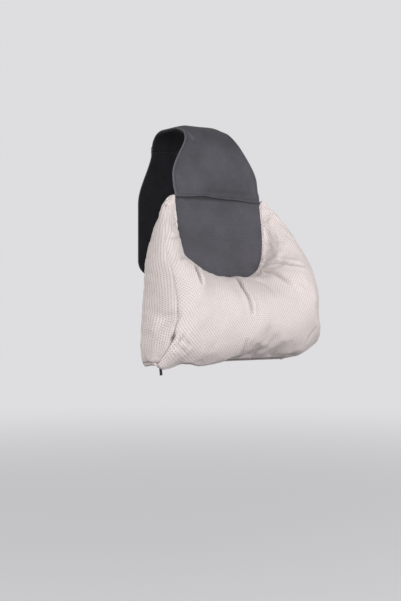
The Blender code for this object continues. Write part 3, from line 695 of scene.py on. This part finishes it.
def ring_mesh(name, grid):
    """The closed pillow as one mesh, with its weave map and marks for its seams and what is sewn still."""
    cuts = weave_places(grid)
    bm = bmesh.new()
    weave_map = bm.loops.layers.uv.new("weave")
    bmesh.ops.create_grid(bm, x_segments=RING, y_segments=LOFT_ROWS, size=0.5)
    marks = {mark: bm.verts.layers.float.new(mark) for mark in MARKS}
    place = {v: (round((v.co.y + 0.5) * LOFT_ROWS), round((v.co.x + 0.5) * RING)) for v in bm.verts}
    for face in bm.faces:
        middle = face.calc_center_median()
        cut = cuts[cloth_of((middle.x + 0.5) * RING, (middle.y + 0.5) * LOFT_ROWS)]
        for loop in face.loops:
            loop[weave_map].uv = cut[place[loop.vert]]
    for v, (row, column) in place.items():
        u, w, n = grid[row, column]
        from_end = min(row, LOFT_ROWS - row)
        down_side = column == FRONT_COLUMNS and from_end <= END_ROW
        round_corner = from_end == END_ROW and FRONT_COLUMNS <= column <= OUTER
        on_back = column >= OUTER or column == 0
        on_foot = w < -PILLOW_DROP + 6 * MM and n < ZIP_FOOT
        v[marks["seam"]] = float(down_side or round_corner)
        v[marks["inner_edge"]] = float(column in (0, RING))
        v[marks["outer_edge"]] = float(column == OUTER)
        v[marks["still"]] = 1.0 if on_back or on_foot or from_end < 2 else 0.4 * float(column == 1)
        v.co = to_world(grid[row, column][None])[0]
    bmesh.ops.remove_doubles(bm, verts=bm.verts, dist=0.01 * MM)
    filled = bmesh.ops.holes_fill(bm, edges=[e for e in bm.edges if e.is_boundary], sides=0)
    bmesh.ops.poke(bm, faces=filled["faces"])
    bmesh.ops.recalc_face_normals(bm, faces=bm.faces)
    return from_bmesh(name, bm)


def read_mark(mesh, mark):
    flat = np.empty(len(mesh.vertices))
    mesh.attributes[mark].data.foreach_get("value", flat)
    return flat


def stuff(piece):
    """Fills the sewn skin with a cloth simulation under pressure, and limits how far any point moves."""
    still = read_mark(piece.data, "still")
    group = piece.vertex_groups.new(name="still")
    for i, weight in enumerate(still.tolist()):
        if weight > 0.0:
            group.add([i], weight, "REPLACE")
    start = coordinates(piece.data)
    cloth = piece.modifiers.new("stuffing", "CLOTH")
    for setting, value in CLOTH.items():
        setattr(cloth.settings, setting, value)
    cloth.settings.effector_weights.gravity = 0.0
    cloth.collision_settings.use_collision = False
    cloth.point_cache.frame_start, cloth.point_cache.frame_end = 1, SIM_FRAMES
    for step in range(1, SIM_FRAMES + 1):
        bpy.context.scene.frame_set(step)
    evaluated = piece.evaluated_get(bpy.context.evaluated_depsgraph_get())
    moved = coordinates(evaluated.to_mesh())
    evaluated.to_mesh_clear()
    piece.modifiers.clear()
    bpy.context.scene.frame_set(1)
    off = moved - start
    far = np.maximum(np.linalg.norm(off, axis=1), 1e-9)[:, None]
    set_coordinates(piece.data, start + off * np.tanh(far / SWELL_CAP) * SWELL_CAP / far)


def nearest(points, targets):
    """For each point, its distance to the nearest target."""
    tree = KDTree(len(targets))
    for i, p in enumerate(targets.tolist()):
        tree.insert(p, i)
    tree.balance()
    return np.array([tree.find(p)[2] for p in points.tolist()])


def segment_reach(points, a, b):
    """Rows of (u, w): distance to the segment a to b, and how far along it the nearest place is."""
    ab = b - a
    along = np.clip((points - a) @ ab / (ab @ ab), 0.0, 1.0)
    return np.linalg.norm(points - a - along[:, None] * ab, axis=1), along


def fold_relief(uw):
    """How far the front's folds draw the cloth in, with the fuller cloth beside them."""
    total = np.zeros(len(uw))
    for points, width, depth in FOLDS:
        marks = np.array(points, float) * MM
        reach = np.full(len(uw), 1.0)
        share = np.zeros(len(uw))
        last = len(marks) - 1
        for k in range(last):
            far, along = segment_reach(uw, marks[k], marks[k + 1])
            nearer = far < reach
            reach = np.where(nearer, far, reach)
            share = np.where(nearer, (k + along) / last, share)
        reach = reach / (width * MM)
        fade = 0.35 + 0.65 * np.sin(math.pi * (0.12 + 0.76 * share))
        total += depth * MM * fade * (np.exp(-reach ** 2) - 0.32 * np.exp(-((reach - 2.1) / 1.2) ** 2))
    return total


# How far the left corner sags and the middle rises, the left end bulges and its horn is drawn in
SAG = 9.0 * MM
RISE = 1.0 * MM
SIDE_BULGE = 6.0 * MM
HORN_TRIM = 4.5 * MM

# How far the cloth is drawn in and up at the U's lower left, and where: a place (u, w) and a size in mm
SHOULDER_IN = 9.0 * MM
SHOULDER = (-80.0, -102.0, 31.0)
BROW_RISE = 8.5 * MM
BROW = (-56.0, -119.0, 27.0)

# How far the front rolls under at the lower left, and what the sewn edges and seams do to the cloth
ROLL_UNDER = 19.0 * MM
GAP_AT = -213.0
SEWN_IN = 1.8 * MM
SEAM_PUCKER = 0.9 * MM
GATHER = 1.7 * MM
LEFT_GATHER = 0.9 * MM
ZIP_SEAT = -PILLOW_DROP + 3.6 * MM


def slump(uwn):
    """Shapes rows of (u, w, n) as the photograph shows the pillow, and returns them as world points. The left
    corner sags and rolls under, the end bulges, and the cloth is drawn in at the U's lower left."""
    u, w, n = uwn.T
    ahead = np.maximum(past(n, 22.0, 14.0), 0.55 * past(ZIP_LEFT - u, 1.0, 6.0))
    middle = past(u, -95.0, 60.0) * past(-u, -95.0, 60.0)
    w += (RISE * middle - SAG * past(-u, 98.0, 60.0)) * past(-w, 150.0, 90.0) * ahead
    u -= SIDE_BULGE * (0.35 + 0.65 * past(-w, 110.0, 110.0)) * past(-u, 108.0, 40.0)
    u += HORN_TRIM * band(w, -40.0, 26.0) * past(-u, 88.0, 22.0)
    shoulder, brow = (band(np.hypot(u - a * MM, w - b * MM), 0.0, size) for a, b, size in (SHOULDER, BROW))
    shoulder = shoulder * past(n, 8.0, 24.0)
    brow = brow * past(n, 4.0, 12.0)
    u -= SHOULDER_IN * shoulder
    n -= SHOULDER_IN * shoulder
    w += BROW_RISE * brow
    n -= ROLL_UNDER * past(-w, 226.0, 42.0) * past(-u, 85.0, 40.0) * past(n, 24.0, 44.0)
    return to_world(uwn)


def sculpt(piece):
    """The slump, seams, gathers and folds on the stuffed skin, and a mark for the shade in its creases."""
    mesh = piece.data
    *sewn_lines, still = (read_mark(mesh, mark) for mark in MARKS)
    loose = 1.0 - ease(still * 1.5)
    uwn = to_front(coordinates(mesh))
    points = slump(uwn)
    set_coordinates(mesh, points)
    normals = vertex_normals(mesh)
    seam, inner, outer = (nearest(points, points[line > 0.99]) for line in sewn_lines)
    u, w, n = uwn.T

    # The end panels' seams: a tight line, puckered cloth beside it, and a small gap at the left one's foot
    tight = 0.35 + 0.65 * past(-w, 90.0, 90.0)
    seam_line = band(seam, 0.0, 0.9) * tight
    puckers = SEAM_PUCKER * waves(np.stack((w, seam * 0.3, n * 0.3), 1), 6.5 * MM, 3)
    gaping = band(w, GAP_AT, 5.0) * band(seam, 0.0, 2.6) * (u < 0.0)
    move = (0.35 * MM * band(seam, 6.0, 4.0) + puckers * band(seam, 5.0, 7.0)) * tight
    move -= 0.9 * MM * seam_line + 1.6 * MM * gaping

    # The gathers that run out from the U's edge, and the crimped outer edge
    turn = np.arctan2(w + 40.0 * MM, u)
    ridges = waves(np.stack((turn * 0.085, np.zeros_like(turn), inner * 0.25), 1), 8.0 * MM, 5)
    move += (GATHER + LEFT_GATHER * past(-u, 0.0, 60.0)) * ridges * band(inner, 12.0, 12.0)
    move -= 0.6 * MM * band(inner, 10.5, 3.0)
    move += 0.7 * MM * waves(points, 7.0 * MM, 9) * band(outer, 0.0, 9.0)

    # The stuffing's lumps and the front's folds
    move += 1.3 * MM * waves(points, 34.0 * MM, 11) + 0.5 * MM * waves(points, 15.0 * MM, 13)
    drawn_in = fold_relief(uwn[:, :2]) * ease(normals @ np.array(OUT) * 1.6 + 0.3) * loose
    uwn = to_front(points + normals * (move * loose - drawn_in)[:, None])

    # The inner edge reaches in to where the panel is sewn on, and the underside is flat above the zip
    u, w, n = uwn.T
    sewn = SEWN_IN * band(inner, 0.0, 2.5) * past(-w, 0.0, 6.0)
    u -= sewn * np.cos(turn)
    w -= sewn * np.sin(turn)
    over_zip = (u > ZIP_LEFT) & (u < ZIP_RIGHT) & (n > 1.5 * MM) & (n < ZIP_OPENING)
    w[over_zip & (w < ZIP_SEAT - 0.2 * MM)] = ZIP_SEAT
    set_coordinates(mesh, to_world(uwn))

    # Painted shade: the seams darken more towards the bottom, the left seam's gap is painted dark, and the
    # folds darken where they draw the cloth in.
    lower_shade = 0.3 + 0.5 * past(-w, 180.0, 35.0)
    creases = lower_shade * seam_line + 1.6 * gaping + 0.34 * past(drawn_in, 0.0, 4.2)
    mesh.attributes.new("crease_shade", "FLOAT", "POINT").data.foreach_set("value", np.clip(creases, 0.0, 1.0))


cover = ring_mesh("pillow_cover", pillow_grid(SLACK))
stuff(cover)
subdivide(cover)
sculpt(cover)
cover.data.materials.append(weave)
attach(cover, "pillow")
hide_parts("front_cover", "end_panel_left", "end_panel_right", "back_cover")

bag = ring_mesh("stuffing_bag", pillow_grid(BAG_INSET, BAG_FROM, BAG_BACK))
bag_points = coordinates(bag.data)
creased = 0.6 * MM * waves(bag_points, 12.0 * MM, 17)[:, None]
set_coordinates(bag.data, slump(to_front(bag_points + vertex_normals(bag.data) * creased)))
bag.data.materials.append(bag_cloth)
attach(bag, "pillow")
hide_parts("inner_pillow")


# Sheets of leather and lining
def crowd(share):
    """Shares from 0 to 1 set closer together at both ends."""
    x = 2.0 * share - 1.0
    return 0.5 + 0.5 * math.copysign(0.55 * abs(x) + 0.45 * math.sin(math.pi / 2 * abs(x)), x)


def closed_sheet(name, columns, rows, place, made_of):
    """A closed sheet. place(a, b, side) gives a point, its rubbed and highlighted edge mark and its painted
    shade, side 0 under and 1 over.
    """
    bm = bmesh.new()
    worn_and_highlight = bm.verts.layers.float.new("worn_and_highlight")
    groove = bm.verts.layers.float.new("groove")
    bmesh.ops.create_grid(bm, x_segments=columns, y_segments=rows, size=0.5)
    under = list(bm.verts)
    shares = [(crowd(v.co.x + 0.5), crowd(v.co.y + 0.5)) for v in under]
    copied = bmesh.ops.duplicate(bm, geom=bm.verts[:] + bm.edges[:] + bm.faces[:])
    over = [copied["vert_map"][v] for v in under]
    for high in over:
        high.co.z += 1.0
    bmesh.ops.bridge_loops(bm, edges=[e for e in bm.edges if e.is_boundary])
    for (a, b), low, high in zip(shares, under, over):
        for v, side in ((low, 0), (high, 1)):
            v.co, v[worn_and_highlight], v[groove] = place(a, b, side)
    bm.normal_update()
    bmesh.ops.recalc_face_normals(bm, faces=bm.faces)
    made = from_bmesh(name, bm)
    made.data.materials.append(made_of)
    return made


# A light crease in the leather by the crown's left edge, with a painted highlight on its ridge, from and to
# (x, s)
CROWN_CREASE = (np.array((-44.0, 35.0)) * MM, np.array((-35.0, 60.0)) * MM)
HEM = 7.0 * MM
HEM_RISE = 0.7 * MM
NO_HEM = (0.0, 0.0, 0.0)
LAP_RISE = 0.25 * MM
STITCH_IN = 4.5 * MM
STITCH_DEPTH = 0.7 * MM
WORN_BAND = 1.2


def edge_profile(inward, thickness, hem, side):
    """Height over the sheet's underside, a distance in from its edge: round edge, hem, stitch groove."""
    r = 0.5 * thickness
    bow = math.sqrt(max(1.0 - (1.0 - min(inward / r, 1.0)) ** 2, 0.0))
    if side == 0:
        return r * (1.0 - bow)
    height = r + (thickness - r) * bow
    if hem > 0.0:
        height += hem * (1.0 - past(inward - HEM, -1.5, 2.0)) * bow
        height -= STITCH_DEPTH * band(inward - STITCH_IN, 0.0, 0.8)
    return height


def rough(size, *place):
    """Smooth noise between -1 and 1 at a place, its swells about size mm long."""
    return noise.noise(Vector(place) / (size * MM))


def lap_wave(x):
    """How far down the strap the lap's edge wanders: up at its left half, down at its right corner."""
    wander = 0.8 * noise.noise(Vector((x / (26.0 * MM), 4.0, 0.0)))
    return (wander + 2.4 * past(x, 20.0, 60.0) - 3.0 * band(x, -28.0, 26.0)) * MM


def lap_pucker(x):
    """How the lap puckers beside its stitches, most in its left half."""
    fine = noise.noise(Vector((x / (5.5 * MM), 0.0, 2.0)))
    coarse = noise.noise(Vector((x / (13.0 * MM), 1.0, 0.0)))
    return (0.55 + 0.5 * past(-x, 0.0, 30.0)) * MM * (fine + 0.6 * coarse)


def strap_piece(name, start, stop, columns, rows, half, lift, thickness, made_of, hem, ripple):
    """A sheet along the strap. hem gives the hem's rise at its sides, its start and its stop."""
    is_lap = hem[2] == LAP_RISE
    is_bib = stop == U_END and thickness == LEATHER

    def place(a, b, side):
        s = start + (stop - start) * b
        width = half(s)
        x = (2 * a - 1) * width
        inward = (width - abs(x), s - start, stop - s)
        edge = min(range(3), key=lambda k: inward[k] if hem[k] or k == 0 else inward[k] + 4 * MM)
        inset = min(inward)
        sway = (rough(38.0, x, s, lift(0.0)) + 0.25 * rough(14.0, x, s, 0.3)) * ripple * MM
        sway *= past(inset, 0.0, 10.0)
        if is_lap:
            by_seam = band(stop - s, 0.0, 7.0)
            sway += lap_pucker(x) * by_seam
            s += lap_wave(x) * by_seam
        worn_and_highlight, groove = 0.0, 0.0
        # Painted shade in the stitch groove. The hemmed sides are paler at their edges from rubbed wear and a
        # painted highlight that is stronger on the left.
        if hem[edge]:
            groove = 0.4 * band(inset - STITCH_IN, 0.0, 0.9)
            if hem[edge] != LAP_RISE:
                worn_and_highlight = (0.9 - 0.6 * past(x, 0.0, 20.0)) * band(inset, 0.0, WORN_BAND)
        # Painted shadow on the lower panel under the lap's edge, wider where its left half puckers.
        if is_bib:
            gathered = past(-x, 0.0, 50.0) * abs(noise.noise(Vector((x / (7.0 * MM), 0.0, 0.0))))
            groove = 0.85 * band(max(s - TOP_END, 0.0), 0.0, 2.0 + 6.0 * gathered)
        # A raised crease by the crown, with a painted highlight along its ridge.
        if is_lap and side:
            far, _ = segment_reach(np.array(((x, s),)), *CROWN_CREASE)
            ridge = band(far[0], 0.0, 2.4)
            sway += 0.9 * MM * ridge
            worn_and_highlight = max(worn_and_highlight, 0.35 * ridge)
        # Painted shade over the crown.
        if thickness == LEATHER:
            groove = max(groove, 0.38 * (1.0 - past(abs(s), 26.0, 56.0)))
        height = lift(s) + edge_profile(inset, thickness, hem[edge], side) + max(sway, -0.1 * MM)
        return on_strap(x, s, height), worn_and_highlight, groove

    made = closed_sheet(name, columns, rows, place, made_of)
    steps = np.linspace(start, stop, 200)
    widths = np.array([2 * half(s) for s in steps])
    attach(made, "pillow")
    return made


LEATHER_LIFT = LINING + GAP
LAP = LEATHER + GAP


def lining_half(s):
    if s < SEAM_AT:
        return panel_half(s)
    return u_half_below((s - SEAM_AT) * U_DEPTH / (U_DEPTH - EDGE_GAP)) - 2 * EDGE_GAP


def bib_half(s):
    return lining_half(s) if s > SEAM_AT else PANEL_HALF - EDGE_GAP


def over_bib(s):
    return LEATHER_LIFT + LAP * ease((s - SEAM_AT + SEAM_OVERLAP + SEAM_STEP) / SEAM_STEP)


def over_crown(s):
    return LEATHER_LIFT + LAP * ease((s - REAR_SEAM_AT + SEAM_STEP) / SEAM_STEP)


def flap_half(s):
    left = s - FLAP_END
    half = panel_half(s)
    if left >= FLAP_CORNER:
        return half
    return half - FLAP_CORNER + math.sqrt(max(FLAP_CORNER ** 2 - (FLAP_CORNER - left) ** 2, 0.0))


U_END = SEAM_AT + (U_DEPTH - EDGE_GAP) * 0.995
TOP_END = SEAM_AT - 1.0 * MM
FLAP_TOP = REAR_SEAM_AT + REAR_OVERLAP
sheets = (
    ("panel_suede", REAR_SEAM_AT, U_END, 28, 120, lining_half, lambda s: 0.0, LINING, suede, NO_HEM, 0.0,
     ("panel_lining",), "suede"),
    ("lower_leather", SEAM_AT - SEAM_OVERLAP, U_END, 64, 60, bib_half, lambda s: LEATHER_LIFT, LEATHER,
     leather, NO_HEM, 0.8, ("lower_front_panel",), "leather"),
    ("top_leather", REAR_SEAM_AT, TOP_END, 64, 130, panel_half, over_bib, LEATHER, leather,
     (HEM_RISE, 0.0, LAP_RISE), 0.8, ("top_panel",), "leather"),
    ("flap_leather", FLAP_END, FLAP_TOP, 56, 100, flap_half, over_crown, LEATHER, leather,
     (HEM_RISE, HEM_RISE, HEM_RISE), 0.5, ("rear_flap",), "leather"),
    ("flap_suede", FLAP_END, REAR_SEAM_AT - EDGE_GAP, 24, 60, flap_half, lambda s: 0.0, LINING, suede,
     NO_HEM, 0.0, ("rear_lining",), "suede"),
)
laid = {}
for *how, nodes, slot_name in sheets:
    made = laid[how[0]] = strap_piece(*how)
    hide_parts(*nodes)


# The weight pocket
BAR_COUNT, BAR_WIDTH, BAR_LENGTH, BAR_THICK = 4, 18.0 * MM, 112.0 * MM, 5.0 * MM
POCKET_FLANGE = 10.0 * MM
POCKET_RISE = 30.0 * MM
FLAP_FACE = CROWN_FLAT / 2 + REAR_BEND + LEATHER_LIFT + LEATHER
ROOM_HALF = (BAR_COUNT * BAR_WIDTH + (BAR_COUNT - 1) * GAP) / 2 + GAP
ROOM_LOW = strap_station(FLAP_END)[0][1] + POCKET_RISE
ROOM_HALF_HIGH = BAR_LENGTH / 2 + GAP
ROOM_MIDDLE = ROOM_LOW + ROOM_HALF_HIGH
POCKET_HALF = ROOM_HALF + LEATHER + POCKET_FLANGE
POCKET_HALF_HIGH = ROOM_HALF_HIGH + LEATHER + POCKET_FLANGE
POCKET_CORNER = 9.0 * MM


def pocket_place(a, b, side):
    """The pocket: a flange with round corners, and a raised room for the bars, drawn in between them."""
    x, z = (2 * a - 1) * POCKET_HALF, (2 * b - 1) * POCKET_HALF_HIGH
    over = Vector((max(abs(x) - POCKET_HALF + POCKET_CORNER, 0.0),
                   max(abs(z) - POCKET_HALF_HIGH + POCKET_CORNER, 0.0)))
    if over.x > 0.0 and over.y > 0.0:
        limit = max(over.x, over.y) / over.length
        x -= math.copysign(over.x * (1.0 - limit), x)
        z -= math.copysign(over.y * (1.0 - limit), z)
        over = over * limit
    inward = min(POCKET_HALF - abs(x), POCKET_HALF_HIGH - abs(z), POCKET_CORNER - over.length)
    off_room = math.hypot(max(abs(x) - ROOM_HALF, 0.0), max(abs(z) - ROOM_HALF_HIGH, 0.0))
    rise = (BAR_THICK + 2 * GAP) * (1.0 - past(off_room, 0.8, 5.0))
    if side == 1:
        between = abs(((x + ROOM_HALF) / (BAR_WIDTH + GAP)) % 1.0)
        between = min(between, 1.0 - between) * BAR_WIDTH
        rise -= 0.8 * MM * band(between, 0.0, 2.2) * (1.0 - past(off_room, -2.0, 4.0))
        rise += rough(16.0, x, z, 0.7) * 0.5 * MM * past(rise, 0.0, 4.0)
    height = edge_profile(inward, LEATHER, 0.0, side) + rise
    # Painted shade in the stitch groove round the flange.
    groove = 0.5 * band(inward - STITCH_IN, 0.0, 0.9)
    return Vector((x, FLAP_FACE + GAP + height, ROOM_MIDDLE + z)), band(inward, 0.0, WORN_BAND), groove


pocket = closed_sheet("pocket_leather", 84, 110, pocket_place, leather)
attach(pocket, "pillow")
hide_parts("weight_pocket")


# Stitches: each is a small bead sunk in its groove
def evenly(points, pitch):
    """Places a pitch apart along a run of points."""
    points = np.array(points, float)
    run = np.concatenate(((0.0,), np.cumsum(np.linalg.norm(np.diff(points, axis=0), axis=1))))
    marks = np.linspace(0.0, run[-1], max(round(run[-1] / pitch), 1) + 1)
    return np.stack([np.interp(marks, run, points[:, k]) for k in range(3)], 1)


def beads(name, runs, size, made_of, segments=6, rings=4):
    """Beads along runs of (places, outward ways). size is a bead's length, width and thickness."""
    bm = bmesh.new()
    half_size = Matrix.Diagonal((*[s / 2 for s in size], 1.0))
    for places, outs in runs:
        ahead = np.gradient(places, axis=0)
        for place, way, out in zip(places, ahead, outs):
            along = Vector(way).normalized()
            up = Vector(out) - along * along.dot(Vector(out))
            side = along.cross(up.normalized())
            turn = Matrix((along, side, up.normalized())).transposed().to_4x4()
            shape = Matrix.Translation(Vector(place)) @ turn @ half_size
            bmesh.ops.create_uvsphere(bm, u_segments=segments, v_segments=rings, radius=1.0, matrix=shape)
    made = from_bmesh(name, bm)
    made.data.materials.append(made_of)
    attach(made, "pillow")
    return made


def laid_on(surface, guide, sink):
    """Rows of places on a piece's outside under a guide line of (place, outward way), sunk a little."""
    tree = BVHTree.FromObject(surface, bpy.context.evaluated_depsgraph_get())
    places, outs = [], []
    for place, out in guide:
        hit, _, _, _ = tree.ray_cast(Vector(place) + Vector(out) * 12.0 * MM, -Vector(out), 30.0 * MM)
        if hit:
            places.append(hit - Vector(out) * sink)
            outs.append(out)
    return np.array(places), np.array(outs)


def strap_guide(marks):
    """Marks (x, s) on the strap as places with their outward ways, a stitch apart."""
    fine = evenly([(x, s, 0.0) for x, s in marks], STITCH_PITCH)
    guide = []
    for x, s, _ in fine:
        _, (ny, nz) = strap_station(s)
        guide.append((on_strap(x, s, LEATHER_LIFT), (0.0, ny, nz)))
    return guide


def inside(half, count):
    """Places across the strap, kept in from its edges."""
    return np.linspace(-half + STITCH_END, half - STITCH_END, count)


def flap_marks():
    """The line of stitches inside the flap's hem, down one side, round its corners and up the other."""
    radius = FLAP_CORNER - STITCH_IN
    low = FLAP_END + STITCH_IN
    down = []
    for share in np.linspace(1.0, 0.0, 121):
        s = low + (REAR_SEAM_AT - 10.0 * MM - low) * share ** 1.6
        left = min(s - low, radius)
        half = panel_half(s) - STITCH_IN - radius + math.sqrt(radius ** 2 - (radius - left) ** 2)
        down.append((half, s))
    return [(-x, s) for x, s in down] + down[::-1]


def pocket_guide():
    """The line of stitches round the pocket's flange."""
    x, z = POCKET_HALF - STITCH_IN, POCKET_HALF_HIGH - STITCH_IN
    corners = ((-x, z), (-x, -z), (x, -z), (x, z), (-x, z))
    fine = evenly([(across, FLAP_FACE, ROOM_MIDDLE + up) for across, up in corners], STITCH_PITCH)
    return [(place, (0.0, 1.0, 0.0)) for place in fine]


STITCH_PITCH = 3.6 * MM
STITCH_SIZE = (2.7 * MM, 0.75 * MM, 0.7 * MM)
STITCH_END = 5.0 * MM
STITCH_SINK = 0.1 * MM
top_marks = np.linspace(REAR_SEAM_AT + 12.0 * MM, TOP_END - 9.0 * MM, 90)
lines = {
    "top_leather": (
        [(STITCH_IN - panel_half(s), s) for s in top_marks],
        [(panel_half(s) - STITCH_IN, s) for s in top_marks],
        [(x, TOP_END - STITCH_IN + 0.66 * lap_wave(x)) for x in inside(PANEL_HALF, 60)],
    ),
    "flap_leather": ([(x, FLAP_TOP - STITCH_IN) for x in inside(CROWN_HALF, 40)], flap_marks()),
}
seams = [laid_on(laid[name], strap_guide(marks), STITCH_SINK) for name in lines for marks in lines[name]]
seams.append(laid_on(pocket, pocket_guide(), STITCH_SINK))
stitches = beads("leather_stitches", seams, STITCH_SIZE, dark_thread)

# A tack of a few crossed stitches holds the left horn's tip to the leather
TACKS = (((-103, -11), (-98, -19)), ((-98, -12), (-103, -17)), ((-102, -14), (-97, -15)))
tack_runs = []
for (u0, w0), (u1, w1) in TACKS:
    line = evenly([(u0 * MM, w0 * MM, 0.0), (u1 * MM, w1 * MM, 0.0)], 1.8 * MM)
    tack_runs.append(laid_on(cover, [(on_front(u, w, 15.0 * MM), OUT) for u, w, _ in line], 0.0))
tack = beads("horn_tack", tack_runs, (1.9 * MM, 0.6 * MM, 0.6 * MM), tack_thread)

# The zip's teeth: a nylon coil shows as a row of beads
TOOTH_PITCH = 1.4 * MM
TOOTH_SIZE = (1.25 * MM, 2.1 * MM, 1.6 * MM)
for name, node_name in (("coil_teeth_front", "zip_coil_front"), ("coil_teeth_rear", "zip_coil_rear")):
    low, high = (Vector(corner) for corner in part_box(node_name))
    middle = (low + high) / 2
    ends = [(x, middle.y, middle.z) for x in (low.x + TOOTH_PITCH / 2, high.x - TOOTH_PITCH / 2)]
    places = evenly(ends, TOOTH_PITCH)
    teeth = beads(name, [(places, [UP] * len(places))], TOOTH_SIZE, nylon)
    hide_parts(node_name)

# The stage: a plain pale floor well below the hanging pillow, soft lights and a pale surround
FLOOR_Z = -0.66
SURROUND = "DEDDDF"


def make_floor():
    bm = bmesh.new()
    bmesh.ops.create_grid(bm, x_segments=4, y_segments=4, size=20.0)
    bmesh.ops.translate(bm, verts=bm.verts, vec=(0, 0, FLOOR_Z))
    floor = from_bmesh("studio_floor", bm, smooth=False)
    made, tree, where = finish("matt studio floor", roughness=0.95)
    path = node(tree, "LightPath", None)
    pale = node(tree, "Mix", 2, data_type="RGBA", in0=path["Is Camera Ray"], in6="727173", in7="DAD9DB")
    shade(tree, Base_Color=pale)
    far = node(tree, "VectorMath", "Value", operation="LENGTH", in0=where)
    away = node(tree, "MapRange", interpolation_type="SMOOTHSTEP", Value=far, From_Min=0.4, From_Max=2.6,
                To_Min=0.4)
    seen = node(tree, "Math", operation="MAXIMUM", in0=path["Is Camera Ray"], in1=path["Is Glossy Ray"])
    share = node(tree, "Math", operation="MULTIPLY", in0=seen, in1=away)
    glow = node(tree, "Emission", Color=SURROUND, Strength=1.0)
    lit = tree.nodes["Principled BSDF"].outputs[0]
    blend = node(tree, "MixShader", in0=share, in1=lit, in2=glow)
    tree.links.new(blend, tree.nodes["Material Output"].inputs["Surface"])
    floor.data.materials.append(made)


WORLD_LIGHT = 0.32
LIGHTS = (
    ("key_light", 15.0, 8.0, 2.4, 1.6, 44.0),
    ("fill_light", -66.0, 8.0, 2.6, 2.0, 46.0),
)


def make_lights():
    world = bpy.data.worlds.new("studio_surround")
    bpy.context.scene.world = world
    world.use_nodes = True
    tree = world.node_tree
    tree.nodes.clear()
    path = node(tree, "LightPath", None)
    mirrored = node(tree, "Math", operation="MAXIMUM", in0=path["Is Glossy Ray"],
                    in1=path["Is Transmission Ray"])
    seen = node(tree, "Math", operation="MAXIMUM", in0=path["Is Camera Ray"], in1=mirrored)
    light = node(tree, "Background", Color="FFFFFF", Strength=WORLD_LIGHT)
    pale = node(tree, "Background", Color=SURROUND, Strength=1.0)
    out = tree.nodes.new("ShaderNodeOutputWorld")
    tree.links.new(node(tree, "MixShader", in0=seen, in1=light, in2=pale), out.inputs["Surface"])
    for name, azimuth, elevation, distance, size, power in LIGHTS:
        a, e = math.radians(azimuth), math.radians(elevation)
        way = Vector((math.sin(a) * math.cos(e), -math.cos(a) * math.cos(e), math.sin(e)))
        data = bpy.data.lights.new(name, "AREA")
        data.energy = power
        data.size = size
        lamp = bpy.data.objects.new(name, data)
        lamp.location = CAMERA_TARGET + way * distance
        lamp.rotation_mode = "QUATERNION"
        lamp.rotation_quaternion = way.to_track_quat("Z", "Y")
        bpy.context.scene.collection.objects.link(lamp)


make_floor()
make_lights()
bpy.context.scene.view_settings.view_transform = "Standard"
